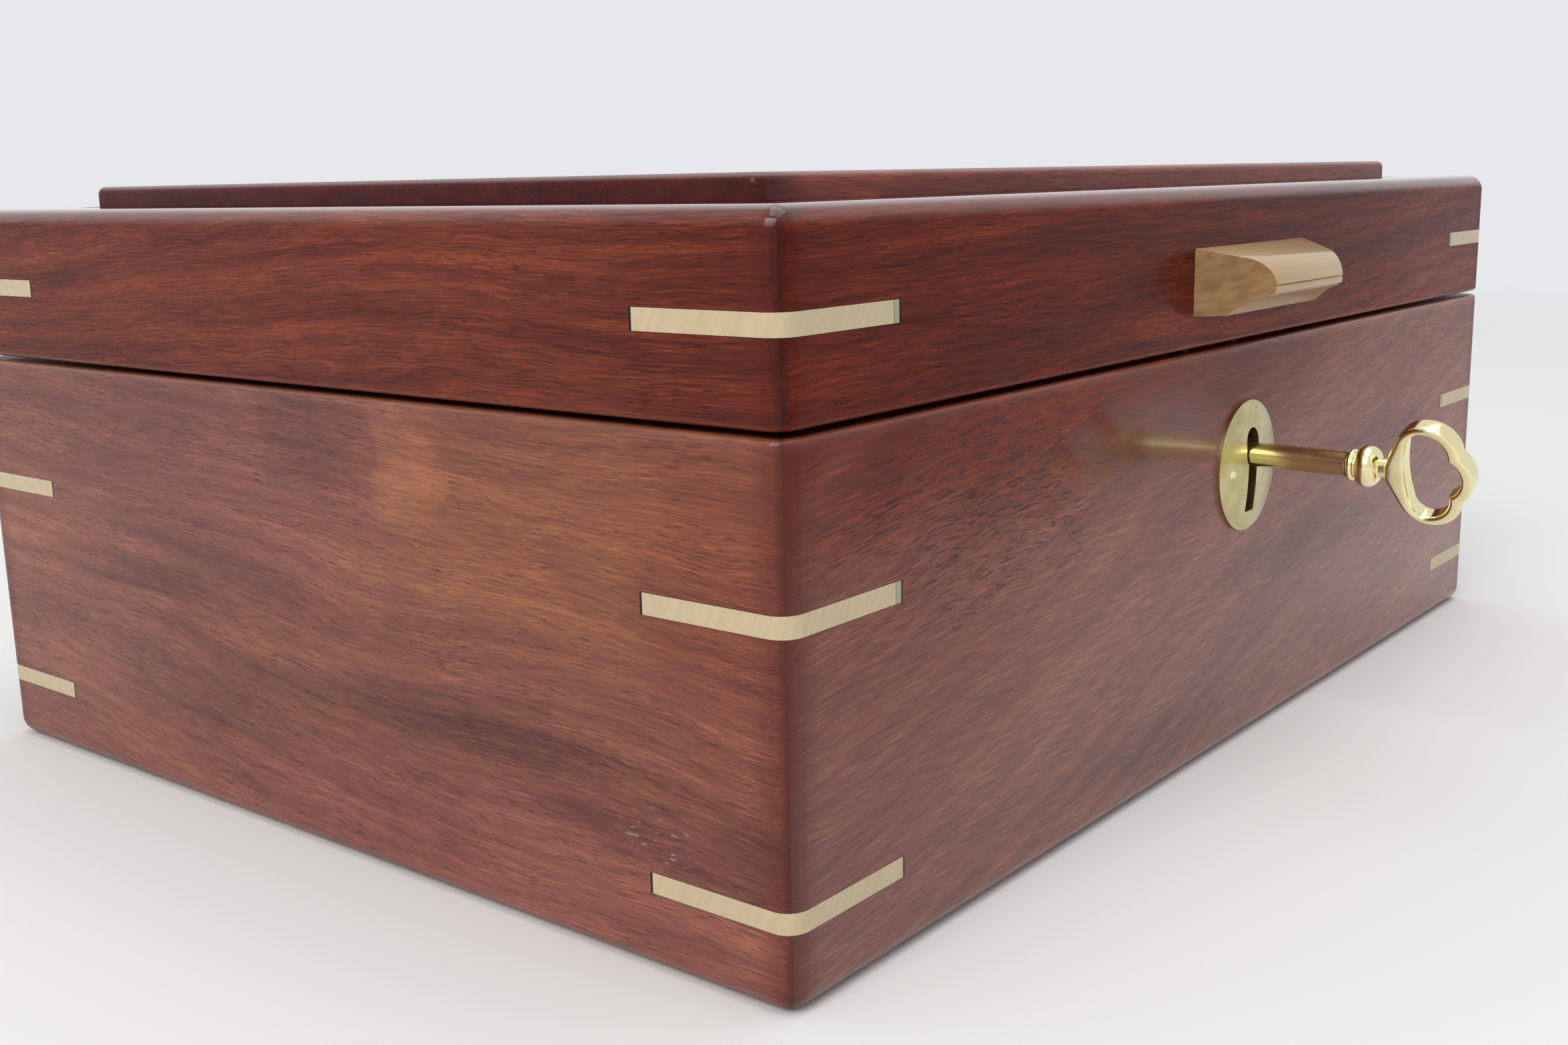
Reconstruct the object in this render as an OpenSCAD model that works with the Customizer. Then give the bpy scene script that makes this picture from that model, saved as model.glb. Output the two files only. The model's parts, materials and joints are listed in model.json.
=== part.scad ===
// Keepsake box: four mitred boards below, four mitred boards and a raised panel above,
// pale splines let in across every corner, a timber lid lift, a half-mortise box lock
// with its round escutcheon and pipe key, and two butt hinges.
// Origin: middle of the underside. +X to the right along the front, +Y to the back, +Z up.

/* [Case] */
// Width of the case along its front
box_w = 284; // [240:1:340]
// Depth of the case from front to back
box_d = 212; // [180:1:260]
// Height of the base
base_h = 80; // [74:1:110]
// Height of the lid's boards
lid_h = 28.7; // [28:0.1:40]
// Open seam between base and lid
seam = 0.9; // [0.7:0.1:1.2]
// Thickness of the boards
wall = 16; // [15:0.5:19]
// Radius of the outer edges and corners
edge_r = 3.5; // [2:0.5:5]
// Radius of the softened lips at the seam
lip_r = 1; // [0.4:0.1:1.5]

/* [Bottom] */
// Thickness of the bottom panel, which lies flush in a rebate
bottom_t = 6; // [4:0.5:9]
// Width of the rebate that holds the bottom panel
rebate_w = 8; // [5:0.5:10]

/* [Lid panel] */
// Distance from the lid's outer faces to the raised field
panel_inset = 19; // [19:0.5:30]
// Height of the raised field above the lid's boards
panel_rise = 4; // [3:0.5:6]
// Thickness of the panel at its field
panel_t = 13; // [10:0.5:14]
// Thickness of the tongue round the panel
tongue_t = 4; // [3:0.5:5]
// Depth of the groove in the boards that holds the tongue
groove_d = 6; // [4:0.5:8]
// Room left beyond the tongue for the panel to swell
swell_gap = 1; // [0.5:0.1:1.5]
// Radius of the field's upright corners
field_r = 2; // [1.5:0.1:4]
// Radius of the field's top edge
field_edge_r = 1.5; // [0.5:0.1:1.5]

/* [Corner splines] */
// Thickness of a spline, one saw kerf
spline_t = 3.2; // [2:0.1:4]
// How far a spline runs along each face from the corner
spline_reach = 25.8; // [20:0.2:29]
// Height of a spline's middle above the lower edge of its frame
spline_up = 13.7; // [9:0.1:14.5]
// Distance of the base's upper splines below its rim
spline_down = 24.8; // [18:0.2:32]

/* [Lid lift] */
// Length of the lift where it meets the lid
lift_len = 48.8; // [40:0.2:80]
// Length of the lift along its nose
lift_nose_len = 31.4; // [24:0.2:38]
// Height of the lift's top edge above the lid's lower edge
lift_top = 17.9; // [15:0.1:21]

/* [Lock] */
// Distance of the key's middle below the base's rim
key_drop = 21.35; // [20:0.05:22.5]
// Width of the lock's back plate and rim plate
lock_w = 60; // [58:1:70]
// Thickness of the lock's plates
plate_t = 1.6; // [1.2:0.1:2]
// Outside width of the lock's cap
cap_w = 46; // [46:0.5:48]
// Outside depth of the lock's cap
cap_d = 8; // [8:0.1:8.4]
// Metal thickness of the cap
cap_t = 1; // [0.8:0.1:1.2]
// Travel of the bolt in one full turn of the key
bolt_travel = 5.5; // [4.5:0.1:5.5]
// Diameter of the round escutcheon
escutcheon_dia = 25.4; // [24:0.1:32]
// Height of the escutcheon at its middle
escutcheon_rise = 1.8; // [1.2:0.1:2.5]
// Height of the escutcheon at its edge
escutcheon_edge = 0.7; // [0.4:0.1:1]
// Play round the key's shank in the round part of the keyhole
keyhole_play = 0.35; // [0.3:0.05:0.6]
// How far the round part of the keyhole rises above the key's shank
keyhole_rise = 2.4; // [1.6:0.1:3]
// Play on each side of the key's bit in the keyhole's slot
slot_play = 0.35; // [0.3:0.05:0.6]

/* [Key] */
// Diameter of the key's shank
shank_dia = 4.7; // [4.6:0.1:5.4]
// Reach of the key's bit from the middle of its shank
bit_r = 9.8; // [8.6:0.1:10]
// Thickness of the key's bit
bit_t = 3; // [2.4:0.1:3.2]
// How far the key stands out of the front
key_out = 43.4; // [38:0.2:48]
// How far the key has been turned from the angle at which it enters, in degrees
key_turn = 23; // [0:1:40]
// How far the key droops in the lock's play, in degrees
key_droop = 1; // [0:0.5:3]
// Thickness of the bow
bow_t = 4; // [2.5:0.1:4.5]
// Length of the bow
bow_len = 16; // [15:0.2:18]
// Width of the rim round the lobes of the bow
bow_rim = 1.6; // [1.3:0.1:2]

/* [Hinges] */
// Length of each butt hinge
hinge_len = 38; // [36:1:50]
// Distance of each hinge's middle from the nearer end of the box
hinge_inset = 57; // [44:1:75]
// Width of a hinge leaf let into the board
leaf_w = 13; // [12:0.5:14]
// Thickness of a hinge leaf
leaf_t = 1.2; // [1:0.1:1.5]
// Radius of the hinge's knuckles
knuckle_r = 2.2; // [2:0.1:2.4]
// Radius of the hinge's pin
pin_r = 1.1; // [1:0.1:1.2]
// Length of the hinge and link plate screws
screw_len = 10; // [8:0.5:12]

/* [Hidden] */
$fn = 64;

// Clearances
wood_gap = 0.1;      // between the lock's cap and the pocket cut for it
run_gap = 0.05;      // between a hinge pin and the lid's knuckles
part_gap = 0.3;      // between neighbours that move past each other
board_gap = 0.4;     // round the keyhole where it runs through the board
cut = 1;             // how far a cutter runs past what it cuts

// Heights
front_y = -box_d / 2;
back_y = box_d / 2;
lid_z0 = base_h + seam;
lid_z1 = lid_z0 + lid_h;
panel_z1 = lid_z1 + panel_rise;
panel_z0 = panel_z1 - panel_t;
splines_lower_z = spline_up;
splines_upper_z = base_h - spline_down;
splines_lid_z = lid_z0 + spline_up;

// Screws
screw_r = 1.1;
screw_head_r = 2.1;
screw_head_h = 1.1;
screw_tip_h = 2;
screw_slot_w = 0.6;
screw_slot_h = 0.5;

// Lock
key_z = base_h - key_drop;                 // key's middle at the front face
shank_r = shank_dia / 2;
keyhole_r = shank_r + keyhole_play;
slot_w = bit_t + 2 * slot_play;
slot_over = 1.5;                           // from the tip of the bit to the foot of the slot
slot_drop = bit_r + slot_over;
lock_y = front_y + wall;                   // inner face of the front board
plate_y = lock_y - plate_t;                // face of the back plate that the cap sits on
cap_y = plate_y - cap_d;                   // outer face of the cap
rim_plate_z = base_h - plate_t;
rim_over = 0.4;                            // of the rim plate past the cap
rim_plate_w = plate_t + cap_d + rim_over;
cap_in_w = cap_w - 2 * cap_t;
cap_mid_y = plate_y - (cap_d - cap_t) / 2; // middle of the room inside the cap
pivot_z = key_z + (cap_mid_y - front_y) * tan(key_droop);
bit_tip_r = sqrt(bit_r * bit_r + bit_t * bit_t / 4);
bit_under = 1;                             // between the bit and the foot of the cap
cap_z0 = pivot_z - bit_tip_r - bit_under - cap_t;
plate_under = 1.2;                         // of the back plate past the foot of the cap
lock_z0 = cap_z0 - plate_under;
lock_h = base_h - lock_z0;
post_r = 1.1;
post_len = 5.4;
lock_screw_len = 7;
lock_screw_x = (cap_w + lock_w) / 4;
lock_screw_in = 6.5;                       // of a lock screw from the back plate's edge

// Key, measured outwards from the front face along its own axis
bit_gap = part_gap + bit_r * sin(key_droop); // between the bit and the cap or back plate
bore_play = 0.4;
bore_r = post_r + bore_play;
bore_len = 8;
key_in = plate_y - front_y - bit_gap;      // how far the key reaches in
bow_tip = key_out - bow_len;
neck_len = 1.15;                           // between the ball and the tip of the bow
neck_r = 1.8;
neck_in = 1.5;                             // how far the neck runs into the bow
ball_r = 3.9;
ball_half = 2.15;
ball_at = bow_tip - neck_len - ball_half;
collar_r = 3;
collar_half = 0.75;
collar_in = 0.1;                           // how far the collar runs into the ball
collar_at = ball_at - ball_half - collar_half + collar_in;

// Bow, with its outline in the plane of the bit and measured from its tip
lobe_at = 7.9;                             // middle of the upper and lower lobes
lobe_up = 4.4;
lobe_r = 5.9;
nose_at = 10;                              // middle of the outer lobe
nose_r = bow_len - nose_at;
hole_back = 0.7;                           // how far the hole sits back from the lobes
web_len = 4.35;                            // from the tip to the straight side of the hole
flank_in = 0.05;                           // how deep the straight flanks run into the lobes

// Bolt and link plate
bolt_t = 2.4;
bolt_h = 4.6;
bolt_rise = 7.4;                           // foot of the bolt above the key's middle
bolt_z0 = pivot_z + bolt_rise;
bolt_z1 = bolt_z0 + bolt_h;
finger_h = 2.2;
staple_t = 2.5;
staple_x = 11;
staple_eye_w = bolt_t + 0.8;
staple_leg = 1.4;
staple_w = staple_eye_w + 2 * staple_leg;
staple_bar = 1.5;
staple_over = 0.7;                         // between the bolt and the foot of a staple
staple_z0 = bolt_z1 + staple_over;
finger_over = 0.5;                         // between a staple's bar and the finger over it
finger_z0 = staple_z0 + staple_bar + finger_over;
staple_side_gap = 0.6;
staple_end_gap = 0.5;
tip_gap = 0.8;                             // bolt fingers to the staples with the bolt home
finger_short = 0.1;                        // of a finger to the bolt's travel
finger_len = bolt_travel - finger_short;
upright_w = 2.6;
bolt_start = bolt_travel * key_turn / 360; // the bolt's place at rest
bolt_x0 = -staple_x - staple_t / 2 - tip_gap - finger_len - upright_w;
bolt_end_gap = 0.5;
bolt_x1 = cap_in_w / 2 - bolt_travel - bolt_end_gap;
talon_play = 0.15 * bolt_travel;           // on each side of the bit as it passes the bolt
talon_half = sqrt(bit_tip_r * bit_tip_r - bolt_rise * bolt_rise) + bit_t / 2 + talon_play;
link_screw_x = 21;
pins_x = 8.2;
pins_drop = 3;
pin_head_r = 1.1;
pin_head_h = 0.35;                         // how far a pin's head stands proud
pin_shank_r = 0.6;
pin_shank_len = 5;
escutcheon_drop = 2.35;                    // of the escutcheon's middle below the key's
escutcheon_z = key_z - escutcheon_drop;
dome_h = escutcheon_rise - escutcheon_edge;
dome_r = (pow(escutcheon_dia / 2, 2) + dome_h * dome_h) / (2 * dome_h);

// Lift, as places out from the lid's face and up from the lift's foot
lift_h = 12;
lift_z0 = lid_z0 + lift_top - lift_h;
lift_nose = [6.14, 4.65];
lift_nose_r = 5.66;
lift_reach = lift_nose[0] + lift_nose_r;
lift_groove_z = 5.35;
lift_bead_r = 0.9;
lift_bead_in = 0.1;                        // how far the bead runs into the nose and stays behind it
lift_foot = 4.5;                           // width of the flat foot
lift_cove = [10.6, 3.45];                  // where the cove ends under the bead
lift_cove_r = 16;

// Hinges
hinge_x = box_w / 2 - hinge_inset;
hinge_y = back_y + knuckle_r + part_gap;
hinge_z = base_h + seam / 2;
knuckles = 5;
knuckle_len = (hinge_len - (knuckles - 1) * part_gap) / knuckles;
hinge_screw_pitch = hinge_len / 3;

WOOD = [0.40, 0.17, 0.13];
PANEL_WOOD = [0.34, 0.14, 0.11];
SPLINE_WOOD = [0.80, 0.72, 0.54];
LIFT_WOOD = [0.78, 0.64, 0.42];
BRASS = [0.80, 0.74, 0.48];
DULL_BRASS = [0.66, 0.60, 0.40];
STEEL = [0.62, 0.62, 0.60];

// ---- boards ----

// What a rounding of radius r takes off a lower left corner at the origin
module round_off(r) {
    difference() {
        translate([-cut, -cut]) square(r + cut);
        translate([r, r]) circle(r);
    }
}

// Section of a board: outer face at x = 0, rounded r0 at its foot and r1 at its head
module board_section(z0, z1, r0, r1) {
    difference() {
        translate([0, z0]) square([wall, z1 - z0]);
        translate([0, z0]) round_off(r0);
        translate([0, z1]) mirror([0, 1]) round_off(r1);
    }
}

// The same edge as it turns round an upright corner, with the corner's axis at x = 0
module corner_section(z0, z1, r0, r1, rv) {
    difference() {
        translate([0, z0]) square([rv, z1 - z0]);
        translate([rv, z0]) mirror([1, 0]) round_off(r0);
        translate([rv, z1]) mirror([1, 0]) mirror([0, 1]) round_off(r1);
    }
}

// Length of a board on a side: 0 front, 1 right, 2 back, 3 left
function side_len(side) = side % 2 == 0 ? box_w : box_d;

// One mitred board, with its outer face out from the middle on the given side.
// Its section is given as a child; its two ends turn half of each rounded corner.
module mitred_board(side, z0, z1, r0, r1) {
    len = side_len(side);
    face = -side_len(side + 1) / 2;
    end = len / 2 - edge_r;
    rotate([0, 0, 90 * side]) {
        intersection() {
            translate([0, face, 0]) rotate([90, 0, 90])
                linear_extrude(height = 2 * end, center = true) children();
            linear_extrude(height = z1 + cut) polygon([
                [-len / 2 - cut, face - cut], [len / 2 + cut, face - cut],
                [len / 2 - wall - cut, face + wall + cut], [wall + cut - len / 2, face + wall + cut]
            ]);
        }
        for (left = [0, 1])
            mirror([left, 0, 0]) translate([end, face + edge_r, 0]) rotate([0, 0, -90])
                rotate_extrude(angle = 45) corner_section(z0, z1, r0, r1, edge_r);
    }
}

// Saw slots across the ends of a board on a side, one pair for each height
module spline_slots(side, heights) {
    rotate([0, 0, 90 * side])
        for (z = heights, end = [-1, 1])
            translate([end * side_len(side) / 2, -side_len(side + 1) / 2, z - spline_t / 2])
                mirror([end > 0 ? 1 : 0, 0, 0])
                    linear_extrude(height = spline_t) polygon([
                        [-cut, -cut], [spline_reach + cut, -cut], [-cut, spline_reach + cut]
                    ]);
}

module base_board(side) {
    color(WOOD) difference() {
        mitred_board(side, 0, base_h, edge_r, lip_r) difference() {
            board_section(0, base_h, edge_r, lip_r);
            translate([wall - rebate_w, -cut]) square([rebate_w + cut, bottom_t + cut]);
        }
        spline_slots(side, [splines_lower_z, splines_upper_z]);
    }
}

module lid_board(side) {
    color(WOOD) difference() {
        mitred_board(side, lid_z0, lid_z1, lip_r, edge_r) difference() {
            board_section(lid_z0, lid_z1, lip_r, edge_r);
            translate([wall - groove_d, panel_z0]) square([groove_d + cut, tongue_t]);
        }
        spline_slots(side, [splines_lid_z]);
    }
}

module base_front() {
    difference() {
        base_board(0);
        color(WOOD) lock_mortise();
        color(WOOD) escutcheon_pins_solid();
    }
}

module base_back() {
    difference() {
        base_board(2);
        color(WOOD) hinge_mortises(base_h - leaf_t, base_h + cut);
        color(WOOD) hinge_screw_set(base_h, 0, false);
    }
}

module lid_front() {
    difference() {
        lid_board(0);
        color(WOOD) translate([-lock_w / 2, lock_y - rim_plate_w, lid_z0 - cut])
            cube([lock_w, rim_plate_w + cut, plate_t + cut]);
        color(WOOD) link_screw_set(false);
    }
}

module lid_back() {
    difference() {
        lid_board(2);
        color(WOOD) hinge_mortises(lid_z0 - cut, lid_z0 + leaf_t);
        color(WOOD) hinge_screw_set(lid_z0, 1, false);
    }
}

module base_bottom() {
    w = box_w - 2 * (wall - rebate_w);
    d = box_d - 2 * (wall - rebate_w);
    color(WOOD) translate([-w / 2, -d / 2, 0]) cube([w, d, bottom_t]);
}

// ---- splines ----

// Spline let into one corner; right and back are 0 or 1
module corner_spline(right, back, z) {
    translate([(right - 0.5) * box_w, (back - 0.5) * box_d, z - spline_t / 2])
        mirror([right, 0, 0]) mirror([0, back, 0])
            linear_extrude(height = spline_t) difference() {
                polygon([[0, 0], [spline_reach, 0], [0, spline_reach]]);
                round_off(edge_r);
            }
}

module base_splines(right, back) {
    color(SPLINE_WOOD)
        for (z = [splines_lower_z, splines_upper_z]) corner_spline(right, back, z);
}

module lid_spline(right, back) {
    color(SPLINE_WOOD) corner_spline(right, back, splines_lid_z);
}

// ---- lid panel ----

// Section across the raised field, rounded at both top edges
module field_section(len) {
    difference() {
        translate([-len / 2, panel_z0]) square([len, panel_t]);
        for (m = [0, 1]) mirror([m, 0])
            translate([-len / 2, panel_z1]) mirror([0, 1]) round_off(field_edge_r);
    }
}

module lid_panel() {
    w = box_w - 2 * panel_inset;
    d = box_d - 2 * panel_inset;
    tongue_w = box_w - 2 * (wall - groove_d + swell_gap);
    tongue_d = box_d - 2 * (wall - groove_d + swell_gap);
    color(PANEL_WOOD) union() {
        rotate([90, 0, 90]) linear_extrude(height = w - 2 * field_r, center = true)
            field_section(d);
        rotate([90, 0, 0]) linear_extrude(height = d - 2 * field_r, center = true)
            field_section(w);
        for (right = [0, 1], back = [0, 1])
            translate([(right - 0.5) * (w - 2 * field_r), (back - 0.5) * (d - 2 * field_r), 0])
                mirror([1 - right, 0, 0]) mirror([0, 1 - back, 0])
                    rotate_extrude(angle = 90)
                        corner_section(panel_z0, panel_z1, 0, field_edge_r, field_r);
        translate([-tongue_w / 2, -tongue_d / 2, panel_z0]) cube([tongue_w, tongue_d, tongue_t]);
    }
}

// ---- lid lift ----

// Section of the lift: a falling top, a bull nose, a bead under it and a finger cove
module lift_section() {
    to_top = [0, lift_h] - lift_nose;
    top_turn = atan2(to_top[1], to_top[0]) - acos(lift_nose_r / norm(to_top));
    chord = lift_cove - [lift_foot, 0];
    cove_turn = atan2(chord[1], chord[0]) - acos(norm(chord) / 2 / lift_cove_r);
    difference() {
        polygon([
            [0, 0], [lift_foot, 0], lift_cove, [lift_cove[0], lift_groove_z], [lift_nose[0], lift_groove_z],
            lift_nose + lift_nose_r * [cos(top_turn), sin(top_turn)], [0, lift_h]
        ]);
        translate([lift_foot, 0] + lift_cove_r * [cos(cove_turn), sin(cove_turn)])
            circle(lift_cove_r, $fn = 128);
    }
    intersection() {
        translate(lift_nose) circle(lift_nose_r);
        translate([lift_nose[0], lift_groove_z]) square(lift_h);
    }
    translate([lift_reach - lift_bead_r - lift_bead_in, lift_groove_z - lift_bead_r + lift_bead_in])
        circle(lift_bead_r);
}

module lid_lift() {
    color(LIFT_WOOD) translate([0, front_y, lift_z0]) intersection() {
        rotate([90, 0, -90]) linear_extrude(height = lift_len, center = true) lift_section();
        linear_extrude(height = lift_h) polygon([
            [-lift_len / 2, 0], [lift_len / 2, 0],
            [lift_nose_len / 2, -lift_reach], [-lift_nose_len / 2, -lift_reach]
        ]);
    }
}

// ---- screws ----

// Countersunk screw, its head flush at the origin and its shank along -Z
module screw_body(len) {
    translate([0, 0, -screw_head_h]) cylinder(h = screw_head_h, r1 = screw_r, r2 = screw_head_r);
    translate([0, 0, screw_tip_h - len]) cylinder(h = len - screw_tip_h - screw_head_h, r = screw_r);
    translate([0, 0, -len]) cylinder(h = screw_tip_h, r1 = 0.2, r2 = screw_r);
}

// The screw itself, or without its slot the hole it fills
module screw(len, slotted) {
    difference() {
        screw_body(len);
        if (slotted) translate([-screw_head_r - cut, -screw_slot_w / 2, -screw_slot_h])
            cube([2 * (screw_head_r + cut), screw_slot_w, screw_slot_h + cut]);
    }
}

// ---- lock ----

// Keyhole in a face, as a 2D shape round the key's middle; grow widens it all round
module keyhole(grow) {
    for (up = [0, keyhole_rise]) translate([0, up]) circle(keyhole_r + grow);
    translate([-keyhole_r - grow, 0]) square([2 * (keyhole_r + grow), keyhole_rise]);
    translate([-slot_w / 2 - grow, -slot_drop - grow]) square([slot_w + 2 * grow, slot_drop + grow]);
}

// Keyhole cut through from y0 to y1
module keyhole_cut(grow, y0, y1, z) {
    translate([0, y1, z]) rotate([90, 0, 0]) linear_extrude(height = y1 - y0) keyhole(grow);
}

module lock_mortise() {
    translate([-lock_w / 2, plate_y, lock_z0]) cube([lock_w, plate_t + cut, lock_h + cut]);
    translate([-lock_w / 2, lock_y - rim_plate_w, rim_plate_z])
        cube([lock_w, rim_plate_w + cut, plate_t + cut]);
    translate([-cap_w / 2 - wood_gap, cap_y - wood_gap, cap_z0 - wood_gap])
        cube([cap_w + 2 * wood_gap, cap_d + wood_gap + cut, rim_plate_z - cap_z0 + 2 * wood_gap]);
    keyhole_cut(board_gap, front_y - cut, cap_y, key_z);
    lock_screw_set(false);
}

module lock_screw_set(slotted) {
    for (x = [-1, 1], z = [lock_z0 + lock_screw_in, base_h - lock_screw_in])
        translate([x * lock_screw_x, lock_y, z]) rotate([-90, 0, 0])
            screw(lock_screw_len, slotted);
}

module lock_plate() {
    color(BRASS) difference() {
        union() {
            translate([-lock_w / 2, plate_y, lock_z0]) cube([lock_w, plate_t, lock_h]);
            translate([-lock_w / 2, lock_y - rim_plate_w, rim_plate_z])
                cube([lock_w, rim_plate_w, plate_t]);
        }
        for (s = [-1, 1])
            translate([s * staple_x - staple_t / 2 - staple_side_gap,
                    cap_mid_y - staple_w / 2 - staple_end_gap, rim_plate_z - cut])
                cube([staple_t + 2 * staple_side_gap,
                    plate_y - cap_mid_y + staple_w / 2 + staple_end_gap, plate_t + 2 * cut]);
        lock_screw_set(false);
        translate([0, lock_y + cut, pivot_z]) rotate([90, 0, 0])
            cylinder(h = plate_t + 2 * cut, r = post_r);
    }
}

// Tray that covers the works: open to the back plate and to the rim plate
module lock_cap() {
    ledge_h = 2;
    ledge_x = 12;
    color(DULL_BRASS) difference() {
        union() {
            difference() {
                translate([-cap_w / 2, cap_y, cap_z0]) cube([cap_w, cap_d, rim_plate_z - cap_z0]);
                translate([-cap_in_w / 2, cap_y + cap_t, cap_z0 + cap_t])
                    cube([cap_in_w, cap_d, rim_plate_z - cap_z0]);
            }
            for (s = [0, 1]) mirror([s, 0, 0])
                translate([ledge_x, cap_y + cap_t / 2, bolt_z0 - part_gap - ledge_h])
                    cube([cap_w / 2 - ledge_x - cap_t / 2, cap_d - cap_t / 2 - wood_gap, ledge_h]);
        }
        keyhole_cut(0, cap_y - cut, cap_y + cap_t + cut, key_z + (cap_y - front_y) * tan(key_droop));
    }
}

module lock_post() {
    color(STEEL) translate([0, lock_y, pivot_z]) rotate([90, 0, 0])
        cylinder(h = plate_t + post_len, r = post_r);
}

module lock_bolt() {
    color(DULL_BRASS) translate([bolt_start, cap_mid_y - bolt_t / 2, 0]) difference() {
        union() {
            translate([bolt_x0, 0, bolt_z0]) cube([bolt_x1 - bolt_x0, bolt_t, bolt_z1 - bolt_z0]);
            for (s = [-1, 1])
                translate([s * staple_x - staple_t / 2 - tip_gap - finger_len - upright_w, 0, 0]) {
                    translate([0, 0, bolt_z0]) cube([upright_w, bolt_t, finger_z0 + finger_h - bolt_z0]);
                    translate([0, 0, finger_z0]) cube([upright_w + finger_len, bolt_t, finger_h]);
                }
        }
        translate([-talon_half - bolt_travel / 2, -cut, bolt_z0 - cut])
            cube([2 * talon_half, bolt_t + 2 * cut, pivot_z + bit_tip_r + part_gap - bolt_z0 + cut]);
    }
}

module lock_screws() {
    color(BRASS) lock_screw_set(true);
}

module link_screw_set(slotted) {
    for (s = [-1, 1])
        translate([s * link_screw_x, lock_y - rim_plate_w / 2, lid_z0]) rotate([180, 0, 0])
            screw(screw_len, slotted);
}

module link_screws() {
    color(BRASS) link_screw_set(true);
}

// The two legs of each staple, from z0 to z1
module staple_legs(z0, z1) {
    for (s = [-1, 1], leg = [-1, 1])
        translate([s * staple_x - staple_t / 2,
                cap_mid_y - staple_leg / 2 + leg * (staple_eye_w + staple_leg) / 2, z0])
            cube([staple_t, staple_leg, z1 - z0]);
}

module link_plate() {
    color(BRASS) difference() {
        translate([-lock_w / 2, lock_y - rim_plate_w, lid_z0]) cube([lock_w, rim_plate_w, plate_t]);
        staple_legs(lid_z0 - cut, lid_z0 + plate_t + cut);
        link_screw_set(false);
    }
}

module link_staples() {
    color(DULL_BRASS) union() {
        staple_legs(staple_z0, lid_z0 + plate_t);
        for (s = [-1, 1])
            translate([s * staple_x - staple_t / 2, cap_mid_y - staple_w / 2, staple_z0])
                cube([staple_t, staple_w, staple_bar]);
    }
}

// ---- escutcheon ----

module escutcheon_pins_solid() {
    face = escutcheon_rise - dome_r + sqrt(dome_r * dome_r - pins_x * pins_x);
    for (s = [-1, 1])
        translate([s * pins_x, front_y, key_z - pins_drop]) {
            rotate([-90, 0, 0]) cylinder(h = pin_shank_len, r = pin_shank_r);
            translate([0, -face, 0]) rotate([-90, 0, 0]) cylinder(h = face, r = pin_shank_r);
            translate([0, -face - pin_head_h, 0]) rotate([-90, 0, 0])
                cylinder(h = 2 * pin_head_h, r1 = pin_shank_r, r2 = pin_head_r);
        }
}

module escutcheon() {
    color(BRASS) difference() {
        translate([0, front_y, escutcheon_z]) rotate([90, 0, 0]) rotate_extrude() intersection() {
            square([escutcheon_dia / 2, escutcheon_rise]);
            translate([0, escutcheon_rise - dome_r]) circle(dome_r, $fn = 256);
        }
        keyhole_cut(0, front_y - escutcheon_rise - cut, front_y + cut, key_z);
        escutcheon_pins_solid();
    }
}

module escutcheon_pins() {
    color(BRASS) escutcheon_pins_solid();
}

// ---- key ----

// Stands its children, built outwards along +Z from the front face, in the keyhole
module in_keyhole() {
    translate([0, front_y, key_z]) rotate([90 + key_droop, 0, 0]) rotate([0, 0, key_turn])
        children();
}

// The three lobes of the bow, smaller all round by trim
module bow_lobes(trim) {
    for (s = [-1, 1]) translate([lobe_at, s * lobe_up]) circle(lobe_r - trim);
    translate([nose_at, 0]) circle(nose_r - trim);
}

// Outline of the bow: x out along the key from the bow's tip, y across it
module bow_outline() {
    to_lobe = [lobe_at, lobe_up];
    flank_r = lobe_r - flank_in;
    flank_turn = atan2(lobe_up, lobe_at) + asin(flank_r / norm(to_lobe));
    flank = sqrt(to_lobe * to_lobe - flank_r * flank_r) * [cos(flank_turn), sin(flank_turn)];
    difference() {
        union() {
            bow_lobes(0);
            polygon([[0, 0], flank, to_lobe, [lobe_at, -lobe_up], [flank[0], -flank[1]]]);
        }
        intersection() {
            translate([-hole_back, 0]) union() {
                bow_lobes(bow_rim);
                translate([0, -lobe_up]) square([lobe_at, 2 * lobe_up]);
            }
            translate([web_len, -bow_len]) square(2 * bow_len);
        }
    }
}

// Half section of a turned ring with a round rim: x out from the axis, y along it
module turned_ring(at, half, r) {
    translate([r - half, at]) circle(half);
    translate([0, at - half]) square([r - half, 2 * half]);
}

module key() {
    color(BRASS) in_keyhole() difference() {
        union() {
            rotate_extrude() intersection() {
                union() {
                    translate([0, -key_in]) square([shank_r, key_in + collar_at]);
                    turned_ring(collar_at, collar_half, collar_r);
                    turned_ring(ball_at, ball_half, ball_r);
                    translate([0, ball_at]) square([neck_r, bow_tip + neck_in - ball_at]);
                }
                translate([0, -key_in]) square(2 * key_out);
            }
            translate([0, 0, bow_tip]) rotate([0, -90, 0])
                linear_extrude(height = bow_t, center = true) bow_outline();
            translate([-bit_t / 2, -bit_r, -key_in]) cube([bit_t, bit_r, cap_d - cap_t - 2 * bit_gap]);
        }
        translate([0, 0, -key_in - cut]) cylinder(h = bore_len + cut, r = bore_r);
    }
}

// ---- hinges ----

// Runs its children at both hinges
module at_hinges() {
    for (s = [-1, 1]) translate([s * hinge_x, 0, 0]) children();
}

module hinge_mortises(z0, z1) {
    at_hinges() translate([-hinge_len / 2, back_y - leaf_w, z0])
        cube([hinge_len, leaf_w + cut, z1 - z0]);
}

// Screws of one set of leaves, with their heads at height z and their points down or up
module hinge_screw_set(z, point_up, slotted) {
    at_hinges() for (n = [-1, 0, 1])
        translate([n * hinge_screw_pitch, back_y - leaf_w / 2, z]) mirror([0, 0, point_up])
            screw(screw_len, slotted);
}

module hinge_screws(z, point_up) {
    color(BRASS) hinge_screw_set(z, point_up, true);
}

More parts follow.
